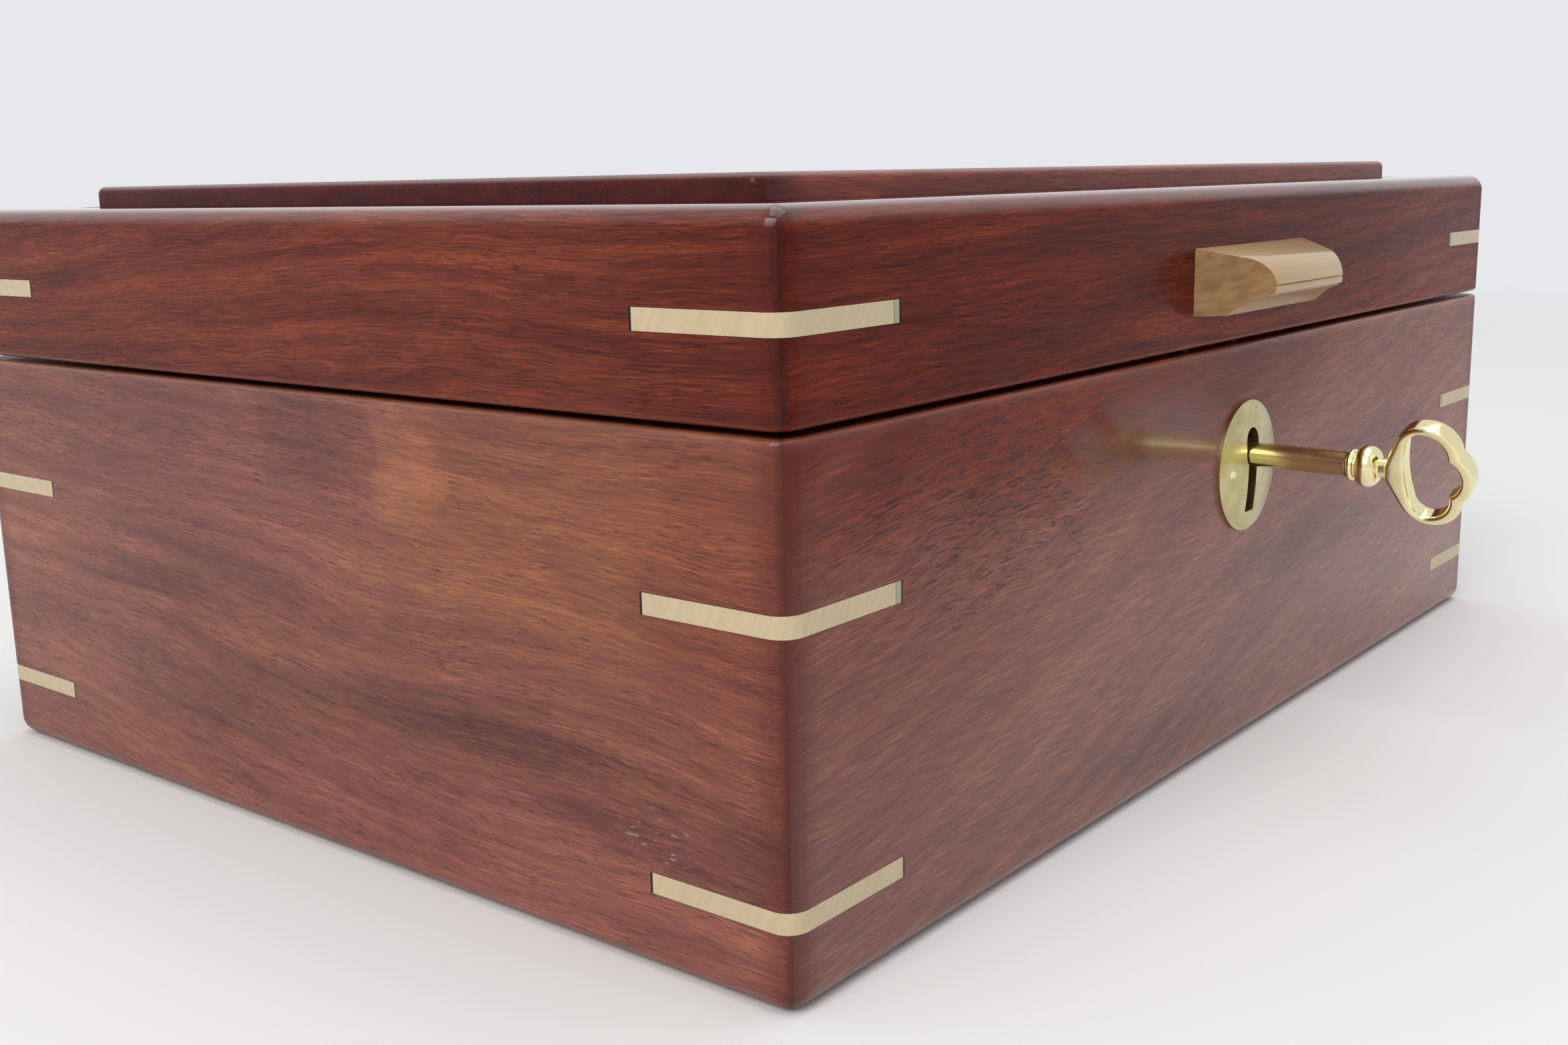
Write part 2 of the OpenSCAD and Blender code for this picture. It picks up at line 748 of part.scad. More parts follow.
// A pair of leaves with their foot at z; first is the number of their first knuckle
module leaf_pair(z, first, bore) {
    color(BRASS) difference() {
        at_hinges() {
            translate([-hinge_len / 2, back_y - leaf_w, z]) cube([hinge_len, leaf_w, leaf_t]);
            for (n = [first : 2 : knuckles - 1])
                translate([n * (knuckle_len + part_gap) - hinge_len / 2, 0, 0]) {
                    translate([0, back_y, z]) cube([knuckle_len, hinge_y - back_y, leaf_t]);
                    translate([0, hinge_y, hinge_z]) rotate([0, 90, 0])
                        cylinder(h = knuckle_len, r = knuckle_r);
                }
        }
        at_hinges() translate([-hinge_len / 2 - cut, hinge_y, hinge_z]) rotate([0, 90, 0])
            cylinder(h = hinge_len + 2 * cut, r = bore);
        hinge_screw_set(first == 0 ? base_h : lid_z0, first, false);
    }
}

module hinge_pins() {
    color(STEEL) at_hinges() translate([-hinge_len / 2, hinge_y, hinge_z]) rotate([0, 90, 0])
        cylinder(h = hinge_len, r = pin_r);
}

base_front();
base_board(1);  // base_right
base_back();
base_board(3);  // base_left
base_bottom();
base_splines(0, 0);  // base_splines_front_left
base_splines(1, 0);  // base_splines_front_right
base_splines(1, 1);  // base_splines_back_right
base_splines(0, 1);  // base_splines_back_left
lid_front();
lid_board(1);  // lid_right
lid_back();
lid_board(3);  // lid_left
lid_panel();
lid_spline(0, 0);  // lid_spline_front_left
lid_spline(1, 0);  // lid_spline_front_right
lid_spline(1, 1);  // lid_spline_back_right
lid_spline(0, 1);  // lid_spline_back_left
lid_lift();
escutcheon();
escutcheon_pins();
lock_plate();
lock_cap();
lock_post();
lock_bolt();
lock_screws();
link_plate();
link_staples();
link_screws();
key();
leaf_pair(base_h - leaf_t, 0, pin_r);  // hinge_base_leaves
leaf_pair(lid_z0, 1, pin_r + run_gap);  // hinge_lid_leaves
hinge_pins();
hinge_screws(base_h, 0);  // hinge_base_screws
hinge_screws(lid_z0, 1);  // hinge_lid_screws
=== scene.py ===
# %% [markdown]
# # A hardwood keepsake box
#
# The box is made of red-brown hardwood boards with mitred corners. Pale splines are let into
# each corner, a raised panel fills the lid, and a small timber lift, a brass lock and its key
# finish the front. The boards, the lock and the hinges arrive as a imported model, already at
# their real sizes. This notebook gives them their woods and metals, eases the edges that a
# hand would feel, and sets up a plain studio round them.

import json
from math import acos, asin, atan2, cos, degrees, radians, sin, sqrt

import bpy
from mathutils import Euler, Matrix, Vector

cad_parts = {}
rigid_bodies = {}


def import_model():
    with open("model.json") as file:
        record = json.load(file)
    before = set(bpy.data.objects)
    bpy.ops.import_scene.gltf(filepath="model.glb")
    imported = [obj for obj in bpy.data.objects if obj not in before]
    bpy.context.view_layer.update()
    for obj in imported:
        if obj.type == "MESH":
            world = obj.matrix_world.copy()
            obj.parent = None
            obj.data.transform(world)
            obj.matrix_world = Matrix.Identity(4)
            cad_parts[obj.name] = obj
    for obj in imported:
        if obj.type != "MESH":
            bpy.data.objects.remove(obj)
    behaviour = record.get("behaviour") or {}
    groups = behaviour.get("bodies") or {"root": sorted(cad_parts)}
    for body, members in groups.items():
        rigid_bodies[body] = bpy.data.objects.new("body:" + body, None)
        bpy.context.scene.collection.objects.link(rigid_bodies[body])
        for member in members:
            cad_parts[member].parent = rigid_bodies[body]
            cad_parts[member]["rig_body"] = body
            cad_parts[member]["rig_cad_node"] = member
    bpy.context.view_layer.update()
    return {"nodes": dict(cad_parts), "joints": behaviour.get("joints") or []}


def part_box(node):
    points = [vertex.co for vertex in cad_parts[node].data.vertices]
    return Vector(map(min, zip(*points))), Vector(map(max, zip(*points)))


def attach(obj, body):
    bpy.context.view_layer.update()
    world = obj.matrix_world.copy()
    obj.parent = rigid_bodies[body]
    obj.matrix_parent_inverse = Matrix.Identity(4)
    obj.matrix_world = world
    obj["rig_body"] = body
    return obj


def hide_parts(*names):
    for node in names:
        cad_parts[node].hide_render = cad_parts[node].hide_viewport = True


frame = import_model()
nodes = frame["nodes"]
MM = 0.001

bpy.ops.object.select_all(action="DESELECT")
print("pieces in the packed model:", len(nodes))

# %% [markdown]
# ## Sizes that the looks depend on
#
# The wood grain runs along each board and the glue lines lie where boards and splines meet, so
# the finishes need a few of the box's own sizes. They are measured from the pieces themselves.
# That way the finishes follow the box if its sizes ever change.

# %% Measure the box
HALF_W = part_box("base_right")[1].x
HALF_D = -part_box("base_front")[0].y
LID_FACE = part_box("lid_front")[0].y
spline_low, spline_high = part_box("base_splines_front_left")
SPLINE_REACH = spline_high.x - spline_low.x
print(f"half width {HALF_W:.4f}, half depth {HALF_D:.4f}, spline reach {SPLINE_REACH:.4f}")

# %% [markdown]
# ## The camera
#
# The box is looked at from close by, a little above its lid, with the left front corner nearest.
# The camera is built from its place, its heading, its tilt down and a slight roll. A matrix made
# from three crossed directions says this more plainly than three Euler angles would.

# %% Place the camera
IMAGE_WIDTH = 2352
FOCAL_PIXELS = 2510.53
SENSOR_WIDTH = 36.0
NEAREST_SEEN = 0.01
CAMERA_AT = Vector((-304.683, -237.556, 112.892)) * MM
HEADING, TILT, ROLL = 0.890344, 0.203960, -0.020969     # in radians

forward = Vector((sin(HEADING) * cos(TILT), cos(HEADING) * cos(TILT), -sin(TILT)))
level_right = Vector((cos(HEADING), -sin(HEADING), 0.0))
level_up = level_right.cross(forward)
right = cos(ROLL) * level_right + sin(ROLL) * level_up
up = -sin(ROLL) * level_right + cos(ROLL) * level_up

bpy.ops.object.camera_add()
camera = bpy.context.object
camera.name = "camera"
camera.data.sensor_width = SENSOR_WIDTH
camera.data.lens = FOCAL_PIXELS / IMAGE_WIDTH * SENSOR_WIDTH
camera.data.clip_start = NEAREST_SEEN
camera.matrix_world = Matrix.Translation(CAMERA_AT) @ Matrix((right, up, -forward)).transposed().to_4x4()
bpy.context.scene.camera = camera
print(f"lens {camera.data.lens:.2f} mm")

# %% [markdown]
# ## A small language for materials
#
# A wood is a sum of many faint patterns, and a node tree for it soon fills a screen. Here each
# output of a node is wrapped in a `Wire`, so that `bands * 0.4 + pores` adds the Math nodes by
# itself. Every other node comes from one method, `add`, which takes the node's kind, its
# settings and what goes into its sockets.

# %% Wires
def both_ways(operation):
    """Python's operator for a Math operation, and its reflected form, as in 1 - wire."""
    def forwards(self, other):
        return self.math(operation, self, other)

    def reflected(self, other):
        return self.math(operation, other, self)

    return forwards, reflected


class Wire:
    """One output of a node, which can be used in sums."""

    def __init__(self, recipe, socket):
        self.recipe = recipe
        self.socket = socket

    def math(self, operation, *values):
        return self.recipe.add("Math", {"operation": operation}, dict(enumerate(values)))

    __add__, __radd__ = both_ways("ADD")
    __sub__, __rsub__ = both_ways("SUBTRACT")
    __mul__, __rmul__ = both_ways("MULTIPLY")
    __truediv__, __rtruediv__ = both_ways("DIVIDE")
    __pow__, __rpow__ = both_ways("POWER")

    def __abs__(self):
        return self.math("ABSOLUTE", self)

    def larger(self, other):
        return self.math("MAXIMUM", self, other)

    def smaller(self, other):
        return self.math("MINIMUM", self, other)


print("wires ready")


# %% Recipes
class Recipe:
    """A material under construction."""

    def __init__(self, name):
        self.material = bpy.data.materials.new(name)
        self.material.use_nodes = True
        self.tree = self.material.node_tree
        self.tree.nodes.clear()

    def add(self, kind, settings, inputs, output=0):
        """Adds a node, sets it, then fills its sockets with wires or plain values."""
        node = self.tree.nodes.new("ShaderNode" + kind)
        for name, value in settings.items():
            if name == "stops":
                self.set_stops(node.color_ramp, value)
            else:
                setattr(node, name, value)
        for key, value in inputs.items():
            if isinstance(value, Wire):
                self.tree.links.new(value.socket, node.inputs[key])
            else:
                node.inputs[key].default_value = value
        return Wire(self, node.outputs[output])

    @staticmethod
    def set_stops(ramp, stops):
        while len(ramp.elements) < len(stops):
            ramp.elements.new(1.0)
        for element, (place, colour) in zip(ramp.elements, stops):
            element.position = place
            element.color = (*colour, 1.0)

    def place(self):
        """The point being shaded, in metres, as x, y and z wires."""
        point = self.add("TexCoord", {}, {}, "Object")
        return [self.add("SeparateXYZ", {}, {"Vector": point}, axis) for axis in "XYZ"]

    def vector(self, x, y, z):
        return self.add("CombineXYZ", {}, {"X": x, "Y": y, "Z": z})

    def noise(self, vector, detail=2.0, roughness=0.5):
        return self.add("TexNoise", {}, {
            "Vector": vector, "Scale": 1.0, "Detail": detail, "Roughness": roughness,
        })

    def step(self, value, low, high, to_low=0.0, to_high=1.0):
        """A smooth step from to_low to to_high as the value goes from low to high."""
        return self.add("MapRange", {"interpolation_type": "SMOOTHSTEP", "clamp": True}, {
            "Value": value, "From Min": low, "From Max": high, "To Min": to_low, "To Max": to_high,
        })

    def mix(self, factor, first, second, blend="MIX"):
        """Mixes two colours; the Mix node keeps its colour sockets at 6 and 7."""
        settings = {"data_type": "RGBA", "blend_type": blend, "clamp_factor": True}
        first = first if isinstance(first, Wire) else (*first, 1.0)
        second = second if isinstance(second, Wire) else (*second, 1.0)
        return self.add("Mix", settings, {0: factor, 6: first, 7: second}, 2)

    def bump(self, height, distance, strength=1.0):
        return self.add("Bump", {}, {"Height": height, "Distance": distance, "Strength": strength})

    def finish(self, **sockets):
        """Closes the recipe with a Principled shader; names use _ for the spaces in a socket's name."""
        inputs = {}
        for name, value in sockets.items():
            inputs[name.replace("_", " ")] = (*value, 1.0) if isinstance(value, tuple) else value
        return self.close(self.add("BsdfPrincipled", {}, inputs))

    def close(self, shader):
        """Puts the shader on the surface and gives the finished material."""
        node = self.tree.nodes.new("ShaderNodeOutputMaterial")
        self.tree.links.new(shader.socket, node.inputs["Surface"])
        return self.material


print("recipes ready")

# %% [markdown]
# ## The hardwood
#
# The boards are a heavy red-brown hardwood under a satin lacquer. Close to, it shows broad clouds
# of darker and lighter heartwood, thin streaks along the grain, a dense silky fleck of pale and
# dark strokes, and open pores that read as fine dark dashes. A flat texture could be wrapped
# round each board, but it would stretch over the rounded edges and break at the mitres. Here each
# part of the figure is a noise that fills the solid and is stretched along the board, so the
# grain turns round an edge as real wood does. Each board gets its own seed, slope and tone,
# because no two boards of a box come from the same place in the tree.

# %% Measure the seam and size the grain
SEAM_LOW, SEAM_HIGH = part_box("base_front")[1].z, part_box("lid_front")[0].z
LID_TOP, PANEL_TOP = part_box("lid_front")[1].z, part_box("lid_panel")[1].z

# Length and thickness of each part of the figure, in millimetres
CLOUDS = (80.0, 20.0)
STREAKS = (70.0, 2.6)
RAGGED = (18.0, 10.0)           # for the outlines of places
SILK = (16.0, 6.0)
STROKES = (8.0, 0.32)
FLECK = (6.0, 0.26)
PORES = (2.7, 0.23)
SCUFFS = (2.2, 0.6)
RIPPLE = 1.4 * MM               # how far the short waves in the grain swing
print(f"seam from {SEAM_LOW:.4f} to {SEAM_HIGH:.4f}, top of the lid's boards {LID_TOP:.4f}")


# %% Follow the grain
def grain_space(recipe, axis, slope, seed, waviness):
    """Coordinates along, through and across the grain, in metres, with a gentle wave."""
    x, y, z = recipe.place()
    along, through = (x, y) if axis == "X" else (y, x)
    wave = recipe.noise(recipe.vector(along * 9.0 + seed, through * 9.0, z * 26.0), detail=1.0)
    ripple = recipe.noise(recipe.vector(along * 70.0, through * 40.0 + seed, z * 130.0), detail=1.0)
    across = z + along * slope + (wave - 0.5) * waviness + (ripple - 0.5) * RIPPLE
    return along, through, across


def stretched(recipe, space, seed, size, detail=2.0, roughness=0.55):
    """Noise whose grains have this length and thickness in millimetres."""
    length, thickness = (v * MM for v in size)
    along, through, across = space
    vector = recipe.vector(
        along * (1.0 / length) + seed, through * (0.5 / thickness), across * (1.0 / thickness)
    )
    return recipe.noise(vector, detail, roughness)


def grain(recipe, axis, seed, slope, stroke_slope, waviness):
    """The noises of a board by name; its strokes may run at another slope than its figure."""
    figure = grain_space(recipe, axis, slope, seed, waviness)
    fine = grain_space(recipe, axis, stroke_slope, seed, waviness * 0.6)
    ragged = stretched(recipe, figure, seed + 61.0, RAGGED)
    return {
        "fine": fine,
        "clouds": stretched(recipe, figure, seed, CLOUDS),
        "streaks": stretched(recipe, figure, seed + 11.0, STREAKS, detail=3.0, roughness=0.6),
        "strokes": stretched(recipe, fine, seed + 23.0, STROKES, roughness=0.65),
        "fleck": stretched(recipe, fine, seed + 29.0, FLECK, detail=1.0),
        "pores": stretched(recipe, fine, seed + 37.0, PORES, detail=0.0),
        "silk": stretched(recipe, fine, seed + 51.0, SILK, roughness=0.6),
        "ragged": ragged,
        "calm": (ragged - 0.5) * 0.35 + 0.5,
    }


print("grain ready")


# %% Mark out places on a board
def spot(where, height, spread, rise, edge=None):
    """An oval on a board's face, in millimetres: its middle, half sizes and where it is cut off."""
    return [v if v is None else v * MM for v in (where, height, spread, rise, edge)]


def field(recipe, axis, ragged, place):
    """1 in the middle of a place, falling to 0 at its ragged outline."""
    where, height, spread, rise, edge = place
    x, y, z = recipe.place()
    level = x if axis == "X" else y
    off = ((level - where) / spread) ** 2.0 + ((z - height) / rise) ** 2.0
    mask = recipe.step(off + (ragged - 0.5) * 1.2, 0.0, 1.0, 1.0, 0.0)
    if edge is None:
        return mask
    wander = (ragged - 0.5) * (10.0 * MM)
    return mask * recipe.step(level + wander, edge + 1.5 * MM, edge - 2.0 * MM)


print("places ready")


# %% [markdown]
# ## The colour of the heartwood
#
# A real board runs through many browns, yet all of them belong together. So the parts of the
# figure are first added up to one value, and one ramp with three stops turns that value into a
# colour: a dark, the board's mean tone and a light. Patches shift the value in places, as where a
# board shows a paler flame. Tints multiply the colour in places. Some of them are painted light:
# painted shade where a face is darker towards its top or at the panel's end, painted sheen where a
# face is paler and greyer at its far end or low down, and a painted golden reflection of the key
# beside the lock.

# %% Colour the heartwood
def shades(tone):
    """The dark and the light that belong to a board's mean colour."""
    dark = (tone[0] * 0.44, tone[1] * 0.42, tone[2] * 0.56)
    light = (tone[0] * 1.80, tone[1] * 1.95, tone[2] * 1.55)
    return dark, light


def heartwood(recipe, axis, noise, tone, patches, tints, contrast, streakiness, cloudiness):
    """The colour of the wood with its tints, some of which are painted shade, sheen and reflection;
    without pores, glue, scuffs or painted highlights.
    """
    fleck, silk = noise["fleck"], noise["silk"]
    pale_fleck = recipe.step(fleck, 0.54, 0.68) * recipe.step(silk, 0.36, 0.62)
    dark_fleck = recipe.step(fleck, 0.44, 0.32) * recipe.step(silk, 0.64, 0.38)
    value = (noise["clouds"] - 0.5) * cloudiness + (noise["streaks"] - 0.5) * streakiness
    value = value + (noise["strokes"] - 0.5) * 1.25 + pale_fleck * 0.30 - dark_fleck * 0.18
    value = value * contrast + 0.48
    for place, amount in patches:
        value = value + field(recipe, axis, noise["ragged"], place) * amount
    dark, light = shades(tone)
    stops = [(0.0, dark), (0.5, tone), (1.0, light)]
    colour = recipe.add("ValToRGB", {"stops": stops}, {"Fac": value})
    for place, tint in tints:
        mask = field(recipe, axis, noise["calm"], place)
        colour = recipe.mix(mask, colour, recipe.mix(1.0, colour, tint, "MULTIPLY"))
    return colour


def pore_mask(recipe, axis, noise, open_pores):
    """Where the pores are; they are denser in the place open_pores, if the board has one."""
    if open_pores is None:
        density = recipe.step(noise["silk"], 0.35, 0.60, 0.20, 0.50)
        return recipe.step(noise["pores"], 0.66, 0.74) * density
    density = field(recipe, axis, noise["ragged"], open_pores) * 0.65 + 0.15
    return recipe.step(noise["pores"], 0.59, 0.67) * density


print("heartwood ready")


# %% [markdown]
# ## Glue, stain and worn edges
#
# What makes a box look made is at its joints. A hairline of glue runs up each mitre and round
# each spline. The rounded corner and the wood beside each mitre are darkened with painted shade,
# where the corner reflects little light, and the lips of the seam and the top edges get painted
# highlights, a little paler. These lines lie where pieces meet, so they are masks worked out from
# the box's own sizes, and no line is painted by hand.

# %% Draw the glue lines and the painted shade along the corner
# The dark of the glue lines; the painted shade on the rounded corner uses it too
GLUE_AND_SHADE = (0.016, 0.009, 0.008)
GLUE_HALF = 0.09 * MM
TIP_GAP = 0.15 * MM             # from the tip of a spline to the middle of the glue there
slip_low, slip_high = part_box("lid_spline_front_left")
SPLINE_HALF = 0.5 * (slip_high.z - slip_low.z)


def middle_heights(name):
    """The middle heights of the one or two splines in a node."""
    low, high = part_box(name)[0].z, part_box(name)[1].z
    if high - low > 4.0 * SPLINE_HALF:
        return [low + SPLINE_HALF, high - SPLINE_HALF]
    return [low + SPLINE_HALF]


def glue_and_shade_mask(recipe, heights):
    """1 on the hairline of the mitre and round each spline, up to 0.62 in the painted shade along the
    rounded corner, 0 elsewhere.
    """
    x, y, z = recipe.place()
    from_side = HALF_W - abs(x)
    from_front = HALF_D - abs(y)
    from_mitre = abs(from_side - from_front)
    from_corner = from_side + from_front
    mitre = recipe.step(from_mitre, GLUE_HALF, 4.0 * GLUE_HALF, 0.8, 0.0)
    # painted shade: the middle of the rounded corner darkened, as it reflects little light
    rounded_corner_shade = recipe.step(from_mitre, 0.2 * MM, 2.2 * MM, 0.62, 0.0)
    rounded_corner_shade = rounded_corner_shade * recipe.step(from_corner, 3.0 * MM, 6.0 * MM, 1.0, 0.0)
    near = recipe.step(from_corner, SPLINE_REACH, SPLINE_REACH + 2.0 * TIP_GAP, 1.0, 0.0)
    end = recipe.step(abs(from_corner - (SPLINE_REACH + TIP_GAP)), 0.22 * MM, 0.34 * MM, 1.0, 0.0)
    mask = mitre.larger(rounded_corner_shade)
    for height in heights:
        off = abs(z - height)
        line = recipe.step(abs(off - SPLINE_HALF), GLUE_HALF, 2.0 * GLUE_HALF, 0.5, 0.0) * near
        tip = end * recipe.step(off, SPLINE_HALF, SPLINE_HALF + 0.1 * MM, 1.0, 0.0)
        mask = mask.larger(line).larger(tip)
    return mask


BASE_SPLINES = middle_heights("base_splines_front_left")
LID_SPLINES = middle_heights("lid_spline_front_left")
print("spline heights:", [round(v, 4) for v in BASE_SPLINES + LID_SPLINES])


# %% Paint highlights on the edges
# Colour and strength of the painted highlight along a top edge
CREST_HIGHLIGHT_COLOUR = (0.44, 0.34, 0.35)
CREST_HIGHLIGHT_SHARE = 0.34


def from_faces(recipe):
    """How far a point lies inside the box's outer faces."""
    x, y, z = recipe.place()
    return (HALF_W - abs(x)).smaller(HALF_D - abs(y))


def outside(recipe):
    """1 on the box's outer faces, 0 further in."""
    return recipe.step(from_faces(recipe), 0.6 * MM, 1.6 * MM, 1.0, 0.0)


def painted_edge_highlights(recipe, colour, light, crest_at):
    """Paints paler highlights on the lips of the seam, and on the top edge that has this height and
    inset.
    """
    x, y, z = recipe.place()
    # painted highlights: the lips of the seam made paler, where the light catches them
    lips = recipe.step(abs(z - SEAM_LOW), 0.15 * MM, 0.9 * MM, 0.28, 0.0)
    lips = lips + recipe.step(abs(z - SEAM_HIGH), 0.15 * MM, 1.2 * MM, 0.35, 0.0)
    lips = lips * outside(recipe)
    colour = recipe.mix(lips, colour, (light[0], light[1] * 0.9, light[2] * 0.8))
    height, inset = crest_at
    # painted highlight: a paler line along the rounded top edge
    crest = recipe.step(from_faces(recipe), inset + 5.5 * MM, inset + 3.5 * MM)
    crest = crest * recipe.step(z, height - 0.9 * MM, height - 0.2 * MM)
    return recipe.mix(crest * CREST_HIGHLIGHT_SHARE, colour, CREST_HIGHLIGHT_COLOUR)


print("edges ready")


# %% Lay on the lacquer
MATT = 0.33                     # roughness of the wood on the sides
TOP_POLISH = 0.25               # what a full top_gloss takes off it on the top
LIP_GLOSS = 0.35
HAND_POLISH = 0.42


def lacquered(recipe, axis, noise, colour, relief, shine=0.12, lacquer=(0.12, 0.05), top_gloss=0.88,
              low_gloss=0.0, polished=None):
    """Closes a board's recipe; lacquer is the coat's weight on the sides and its roughness."""
    x, y, z = recipe.place()
    weight, roughness = lacquer
    top = (LID_TOP - 3.0 * MM, LID_TOP - 1.5 * MM)
    matt = recipe.step(z, *top, MATT, MATT - TOP_POLISH * top_gloss)
    coat = recipe.step(z, *top, weight, weight + top_gloss)
    if low_gloss:
        coat = coat + recipe.step(z, 0.15 * SEAM_LOW, 0.9 * SEAM_LOW, low_gloss, 0.0)
    lip = recipe.step(abs(z - SEAM_LOW), 0.4 * MM, 2.0 * MM, LIP_GLOSS, 0.0)
    coat = coat + lip * outside(recipe)
    if polished:
        coat = coat + field(recipe, axis, noise["calm"], polished) * HAND_POLISH
    return recipe.finish(
        Base_Color=colour, Roughness=matt + (noise["silk"] - 0.5) * 0.06, Normal=relief,
        Specular_IOR_Level=shine, Coat_Weight=coat, Coat_Roughness=roughness, Coat_IOR=1.5,
    )


print("lacquer ready")


# %% Make a hardwood board
PORE_DARK = 0.35                # a pore's share of the board's dark
SCUFF = (0.55, 0.50, 0.50)


def hardwood(name, axis, seed, slope, tone, heights=(), patches=(), tints=(), waviness=0.014,
             stroke_slope=None, contrast=1.0, streakiness=0.95, cloudiness=0.85, open_pores=None,
             scuffs=None, painted_corner_shade=0.0, crest_at=(LID_TOP, 0.0), **gloss):
    """A board whose mean colour is tone, with splines let in at the given heights."""
    recipe = Recipe(name)
    x, y, z = recipe.place()
    if stroke_slope is None:
        stroke_slope = slope
    noise = grain(recipe, axis, seed, slope, stroke_slope, waviness)
    dark, light = shades(tone)
    colour = heartwood(recipe, axis, noise, tone, patches, tints, contrast, streakiness, cloudiness)
    pores = pore_mask(recipe, axis, noise, open_pores)
    colour = recipe.mix(pores, colour, tuple(PORE_DARK * v for v in dark))
    if scuffs:
        flecks = stretched(recipe, noise["fine"], seed + 71.0, SCUFFS, detail=1.0)
        flecks = recipe.step(flecks, 0.64, 0.72) * field(recipe, axis, noise["ragged"], scuffs)
        colour = recipe.mix(flecks * 0.35, colour, SCUFF)
    if heights:
        # glue lines, and painted shade on the rounded corner
        colour = recipe.mix(glue_and_shade_mask(recipe, heights), colour, GLUE_AND_SHADE)
    # painted shade: the wood darkened towards the rounded corner, as the corner reflects little light
    if painted_corner_shade:
        from_end = HALF_W - abs(x) if axis == "X" else HALF_D - abs(y)
        corner_shade = recipe.step(from_end, 1.0 * MM, 8.0 * MM, painted_corner_shade, 0.0)
        colour = recipe.mix(corner_shade, colour, (dark[0] * 1.05, dark[1] * 0.62, dark[2] * 0.45))
    # painted highlights on the seam's lips and the top edge
    colour = painted_edge_highlights(recipe, colour, light, crest_at)
    relief = recipe.bump((noise["strokes"] - 0.5) * 0.20 - pores, 0.040 * MM, 0.35)
    return lacquered(recipe, axis, noise, colour, relief, **gloss)


print("boards can be made")

# %% [markdown]
# ## The boards
#
# The base was sawn from a paler, browner board than the lid. Its front has a diagonal figure,
# open pores to the left, and beside the lock a stretch that hands have polished, which also carries
# a painted golden reflection of the key. Its left side has a pale flame below the lid and a few
# scuffs low down. The boards that are seen less keep to the plain recipe.

# %% Choose the boards of the base
HEARTWOOD = (0.180, 0.056, 0.036)

# For each board: the axis of its grain, its seed, the slope of its figure and its mean colour
wood = {
    "base_front": hardwood(
        "hardwood_base_front", "X", 3.1, -0.30, (0.208, 0.078, 0.062), BASE_SPLINES,
        patches=[
            (spot(-30.0, 10.0, 50.0, 6.0), -0.22), (spot(30.0, 36.0, 60.0, 7.0), -0.20),
            (spot(70.0, 52.0, 60.0, 6.0), -0.16),
        ],
        tints=[
            # painted shade: the upper part of the front darkened and reddened, against a lower part that
            # looks lit by the pale table
            (spot(-70.0, 88.0, 170.0, 36.0), (0.63, 0.20, 0.09)),
            (spot(-120.0, 50.0, 60.0, 50.0), (0.90, 0.78, 0.74)),
            # painted sheen: the far end of the front made paler and greyer
            (spot(120.0, 36.0, 80.0, 50.0), (1.22, 1.22, 1.20)),
            # painted reflection: the wood beside the lock tinted golden orange, where the brass key's
            # reflection lies
            (spot(-42.0, 66.5, 34.0, 10.0), (0.78, 0.44, 0.18)),
        ],
        stroke_slope=-0.03, open_pores=spot(-92.0, 66.0, 52.0, 22.0), painted_corner_shade=0.70,
        contrast=0.85, streakiness=0.75, cloudiness=0.45, shine=0.07, lacquer=(0.18, 0.12),
        low_gloss=0.45, polished=spot(-42.0, 66.5, 36.0, 11.0),
    ),
    "base_right": hardwood("hardwood_base_right", "Y", 7.7, 0.05, HEARTWOOD, BASE_SPLINES),
    "base_back": hardwood("hardwood_base_back", "X", 12.4, 0.08, HEARTWOOD, BASE_SPLINES),
    "base_left": hardwood(
        "hardwood_base_left", "Y", 18.9, -0.06, (0.200, 0.068, 0.046), BASE_SPLINES,
        patches=[
            (spot(-28.0, 71.0, 14.0, 12.0, edge=-21.5), 0.30), (spot(-48.0, 63.0, 44.0, 18.0), 0.16),
            (spot(-85.0, 60.0, 40.0, 18.0), 0.08), (spot(-100.0, 20.0, 50.0, 7.0), -0.34),
            (spot(-30.0, 30.0, 60.0, 5.0), -0.26), (spot(60.0, 42.0, 50.0, 4.0), -0.26),
            (spot(-4.0, 71.0, 18.0, 14.0), -0.12), (spot(60.0, 68.0, 50.0, 16.0), -0.08),
        ],
        tints=[
            (spot(30.0, 66.0, 70.0, 30.0), (0.92, 0.92, 1.10)),
            (spot(-70.0, 64.0, 60.0, 26.0), (1.04, 1.0, 0.86)),
            # painted reflection: the low part of the left side made paler and bluer, as if catching the
            # pale table
            (spot(-50.0, 6.0, 120.0, 22.0), (1.18, 1.16, 1.30)),
            # painted sheen: the far end of the left side made paler and bluer
            (spot(90.0, 30.0, 60.0, 40.0), (1.14, 1.20, 1.26)),
            (spot(-104.0, 62.0, 30.0, 40.0), (0.96, 0.79, 0.76)),
        ],
        waviness=0.020, shine=0.14, painted_corner_shade=0.60, contrast=0.85,
        scuffs=spot(-82.0, 20.5, 9.0, 6.0),
    ),
    "base_bottom": hardwood("hardwood_base_bottom", "X", 52.0, 0.0, HEARTWOOD),
}
print("boards of the base:", len(wood))

